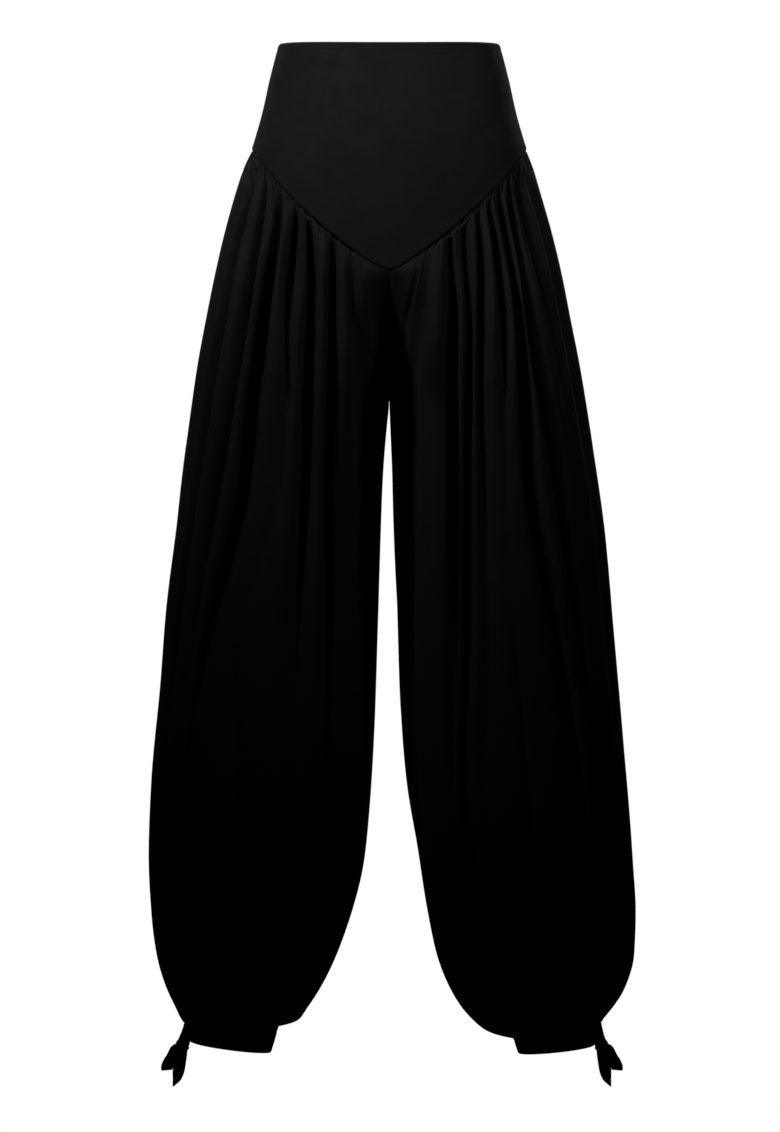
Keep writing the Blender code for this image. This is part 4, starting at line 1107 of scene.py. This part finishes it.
def build_zip():
    near = YOKE_CLOTH + SEAM_GAP
    far = near + TAPE_THICK
    outline = [(-TAPE_HALF_WIDTH, far), (0, far), (TAPE_HALF_WIDTH, far)]
    outline += [(TAPE_HALF_WIDTH, near), (COIL_HALF_WIDTH, near), (COIL_HALF_WIDTH, SEAM_GAP + 0.6)]
    outline += [(-COIL_HALF_WIDTH, SEAM_GAP + 0.6), (-COIL_HALF_WIDTH, near), (-TAPE_HALF_WIDTH, near)]
    drops = np.linspace(ZIP_TOP, ZIP_LENGTH, 60)
    loops = np.array([[back_line(x, drop, inset) for x, inset in outline] for drop in drops])
    loft("zip_tape_cloth", loops, "zip_cloth", ("zip_tape",))
    turn = np.linspace(0, 2 * math.pi, TOOTH_CORNERS, endpoint=False)
    rings = []
    for index, drop in enumerate(np.arange(ZIP_TOP + 1, ZIP_LENGTH - 1, TOOTH_PITCH / 2)):
        lean = 1 if index % 2 else -1
        for reach, size in TOOTH_ENDS:
            x = reach * TOOTH_REACH + lean * TOOTH_SHIFT
            ring = np.zeros((TOOTH_CORNERS, 3))
            ring[:, 1] = np.sin(turn) * TOOTH_DEPTH * size
            ring[:, 2] = np.cos(turn) * TOOTH_HEIGHT * size
            rings.append(back_line(x, drop + lean * reach * TOOTH_LEAN, TOOTH_INSET) + ring)
    rods("zip_coil", rings, "zip_cloth")


# ---------------- materials
def set_inputs(node, values):
    for socket, value in values.items():
        node.inputs[socket].default_value = value


def noise_band(nodes, links, coordinates, scale, detail, low, high):
    """A soft random pattern, spread between two values."""
    noise = nodes.new("ShaderNodeTexNoise")
    set_inputs(noise, {"Scale": scale, "Detail": detail})
    links.new(coordinates, noise.inputs["Vector"])
    spread = nodes.new("ShaderNodeMapRange")
    set_inputs(spread, {"From Min": 0.3, "From Max": 0.7, "To Min": low, "To Max": high})
    links.new(noise.outputs["Fac"], spread.inputs["Value"])
    return spread.outputs["Result"]


def new_material(name):
    material = bpy.data.materials.new(name)
    material.use_nodes = True
    return material, material.node_tree.nodes, material.node_tree.links


def math_node(nodes, links, operation, first, second):
    node = nodes.new("ShaderNodeMath")
    node.operation = operation
    for socket, value in zip(node.inputs, (first, second)):
        if isinstance(value, (int, float)):
            socket.default_value = value
        else:
            links.new(value, socket)
    return node.outputs[0]


def add_bump(nodes, links, shader, height, strength, distance):
    bump = nodes.new("ShaderNodeBump")
    set_inputs(bump, {"Strength": strength, "Distance": distance})
    links.new(height, bump.inputs["Height"])
    links.new(bump.outputs["Normal"], shader.inputs["Normal"])


def thread_waves(nodes, links, coordinates, direction, period):
    wave = nodes.new("ShaderNodeTexWave")
    wave.bands_direction = direction
    set_inputs(wave, {"Scale": WAVE_SCALE / period, "Distortion": 0.6, "Detail": 1.0})
    links.new(coordinates, wave.inputs["Vector"])
    return wave.outputs["Fac"]


def cloth_material(name, tone, thread, roughness, sheen):
    """A plain woven cloth, read on the cloth's own lengths."""
    material, nodes, links = new_material(name)
    shader = nodes["Principled BSDF"]
    lengths = nodes.new("ShaderNodeUVMap")
    lengths.uv_map = CLOTH_MAP
    place = nodes.new("ShaderNodeTexCoord")
    warp = thread_waves(nodes, links, lengths.outputs["UV"], "X", thread)
    weft = thread_waves(nodes, links, lengths.outputs["UV"], "Y", thread)
    weave = math_node(nodes, links, "MULTIPLY", warp, weft)
    mottle = noise_band(nodes, links, place.outputs["Object"], 22, 4, 0.9, 1.1)
    slub = noise_band(nodes, links, place.outputs["Object"], 420, 2, 0.88, 1.12)
    shade = math_node(nodes, links, "MULTIPLY", mottle, slub)
    threads = math_node(nodes, links, "MULTIPLY_ADD", weave, 0.2)
    threads.node.inputs[2].default_value = 0.93
    shade = math_node(nodes, links, "MULTIPLY", shade, threads)
    colour = nodes.new("ShaderNodeMix")
    colour.data_type = "RGBA"
    colour.blend_type = "MULTIPLY"
    set_inputs(colour, {"Factor": 1, "A": (tone, tone, tone, 1)})
    links.new(shade, colour.inputs["B"])
    links.new(colour.outputs["Result"], shader.inputs["Base Color"])
    rough = noise_band(nodes, links, place.outputs["Object"], 60, 3, roughness - 0.05, roughness + 0.05)
    links.new(rough, shader.inputs["Roughness"])
    crumple = noise_band(nodes, links, place.outputs["Object"], 34, 5, 0, 1)
    relief = math_node(nodes, links, "MULTIPLY", crumple, 0.0009)
    relief = math_node(nodes, links, "ADD", relief, math_node(nodes, links, "MULTIPLY", weave, 0.00007))
    add_bump(nodes, links, shader, relief, 0.7, 1.0)
    set_inputs(shader, {"Specular IOR Level": 0.22, "Sheen Weight": sheen})
    set_inputs(shader, {"Sheen Roughness": 0.45, "Sheen Tint": (1, 1, 1, 1)})
    return material


def metal_material(name):
    material, nodes, links = new_material(name)
    shader = nodes["Principled BSDF"]
    place = nodes.new("ShaderNodeTexCoord")
    wear = noise_band(nodes, links, place.outputs["Object"], 900, 4, 0.014, 0.03)
    colour = nodes.new("ShaderNodeCombineColor")
    for channel in ("Red", "Green", "Blue"):
        links.new(wear, colour.inputs[channel])
    links.new(colour.outputs["Color"], shader.inputs["Base Color"])
    rough = noise_band(nodes, links, place.outputs["Object"], 1500, 3, 0.26, 0.42)
    links.new(rough, shader.inputs["Roughness"])
    grain = noise_band(nodes, links, place.outputs["Object"], 2200, 2, 0, 1)
    add_bump(nodes, links, shader, grain, 0.3, 0.00004)
    shader.inputs["Metallic"].default_value = 0.6
    return material


# ---------------- studio
def build_camera():
    camera_data = bpy.data.cameras.new("photo_camera")
    camera_data.sensor_fit = "AUTO"
    camera_data.sensor_width = 36
    camera_data.lens = CAMERA_LENS
    camera_data.clip_end = 60
    camera = bpy.data.objects.new("photo_camera", camera_data)
    camera.location = CAMERA_PLACE
    camera.rotation_euler = (math.radians(90), 0, 0)
    bpy.context.scene.collection.objects.link(camera)
    bpy.context.scene.camera = camera


def build_lamps():
    for lamp in LAMPS:
        light = bpy.data.lights.new(lamp.name, "SPOT")
        light.energy = lamp.power
        light.spot_size = math.radians(lamp.cone)
        light.spot_blend = 1
        light.shadow_soft_size = lamp.radius
        azimuth, elevation = math.radians(lamp.azimuth), math.radians(lamp.elevation)
        away = Vector(
            (
                math.sin(azimuth) * math.cos(elevation),
                -math.cos(azimuth) * math.cos(elevation),
                math.sin(elevation),
            )
        )
        target = Vector((lamp.target_x, 0, lamp.target_z))
        source = bpy.data.objects.new(lamp.name, light)
        source.location = target + away * lamp.distance
        source.rotation_euler = (-away).to_track_quat("-Z", "Y").to_euler()
        bpy.context.scene.collection.objects.link(source)


def glowing_material(name, painted_shadow_tone, painted_shadow_radius):
    """A white that lights itself, with a soft painted shadow round the middle."""
    material, nodes, links = new_material(name)
    nodes.clear()
    output = nodes.new("ShaderNodeOutputMaterial")
    glow = nodes.new("ShaderNodeEmission")
    links.new(glow.outputs["Emission"], output.inputs["Surface"])
    if painted_shadow_radius:
        # Painted shadow: the glow is darker towards the middle and rises to white at the given radius.
        place = nodes.new("ShaderNodeTexCoord")
        length = nodes.new("ShaderNodeVectorMath")
        length.operation = "LENGTH"
        links.new(place.outputs["Object"], length.inputs[0])
        spread = nodes.new("ShaderNodeMapRange")
        spread.interpolation_type = "SMOOTHERSTEP"
        set_inputs(spread, {"From Max": painted_shadow_radius, "To Min": painted_shadow_tone, "To Max": 1})
        links.new(length.outputs["Value"], spread.inputs["Value"])
        links.new(spread.outputs["Result"], glow.inputs["Color"])
    return material


def build_studio():
    scene = bpy.context.scene
    scene.view_settings.view_transform = "Standard"
    world = bpy.data.worlds.new("studio")
    world.use_nodes = True
    background = world.node_tree.nodes["Background"]
    background.inputs["Color"].default_value = (1, 1, 1, 1)
    background.inputs["Strength"].default_value = WORLD_STRENGTH
    scene.world = world
    ball, disc = {"subdivisions": 4, "radius": 24}, {"cap_ends": True, "segments": 96, "radius": 5}
    for name, build, sizes, height, tone, painted_shadow_radius in (
        ("backdrop", bmesh.ops.create_icosphere, ball, 0, 1, 0),
        # The floor's glow holds a painted shadow under the trousers: 0.86 at its middle, white from
        # 0.75 m out.
        ("floor", bmesh.ops.create_circle, disc, FLOOR_Z, 0.86, 0.75),
    ):
        mesh = bpy.data.meshes.new(name)
        shape = bmesh.new()
        build(shape, **sizes)
        shape.to_mesh(mesh)
        shape.free()
        mesh.materials.append(glowing_material(name + "_white", tone, painted_shadow_radius))
        stage = bpy.data.objects.new(name, mesh)
        stage.location.z = height
        stage.visible_diffuse = False
        stage.visible_glossy = False
        stage.visible_shadow = False
        stage.visible_transmission = False
        scene.collection.objects.link(stage)


# ---------------- the whole
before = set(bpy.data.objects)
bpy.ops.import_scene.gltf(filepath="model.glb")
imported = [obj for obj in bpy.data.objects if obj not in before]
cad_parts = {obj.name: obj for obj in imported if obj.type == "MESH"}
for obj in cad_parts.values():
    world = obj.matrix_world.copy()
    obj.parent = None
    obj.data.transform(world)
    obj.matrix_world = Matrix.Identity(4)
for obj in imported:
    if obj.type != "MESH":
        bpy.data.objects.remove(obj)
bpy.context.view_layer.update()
MATERIALS = {
    "black_cloth": cloth_material("black_cloth_woven", 0.0125, 0.00045, 0.8, 0.02),
    "cuff_cloth": cloth_material("cuff_cloth_woven", 0.0115, 0.00045, 0.8, 0.02),
    "zip_cloth": cloth_material("zip_cloth_woven", 0.009, 0.0007, 0.7, 0.02),
    "blackened_metal": metal_material("blackened_metal_satin"),
}
build_yokes()
for leg_side in (LEFT, RIGHT):
    for leg_face in (FRONT, BACK):
        build_leg(leg_side, leg_face)
    build_cuff(leg_side)
    build_ties(leg_side)
build_waist_stitching()
build_zip()
for metal_name in ("zip_slider", "zip_pull"):
    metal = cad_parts[metal_name]
    for place in range(len(metal.material_slots)):
        metal.material_slots[place].material = MATERIALS["blackened_metal"]
build_camera()
build_lamps()
build_studio()
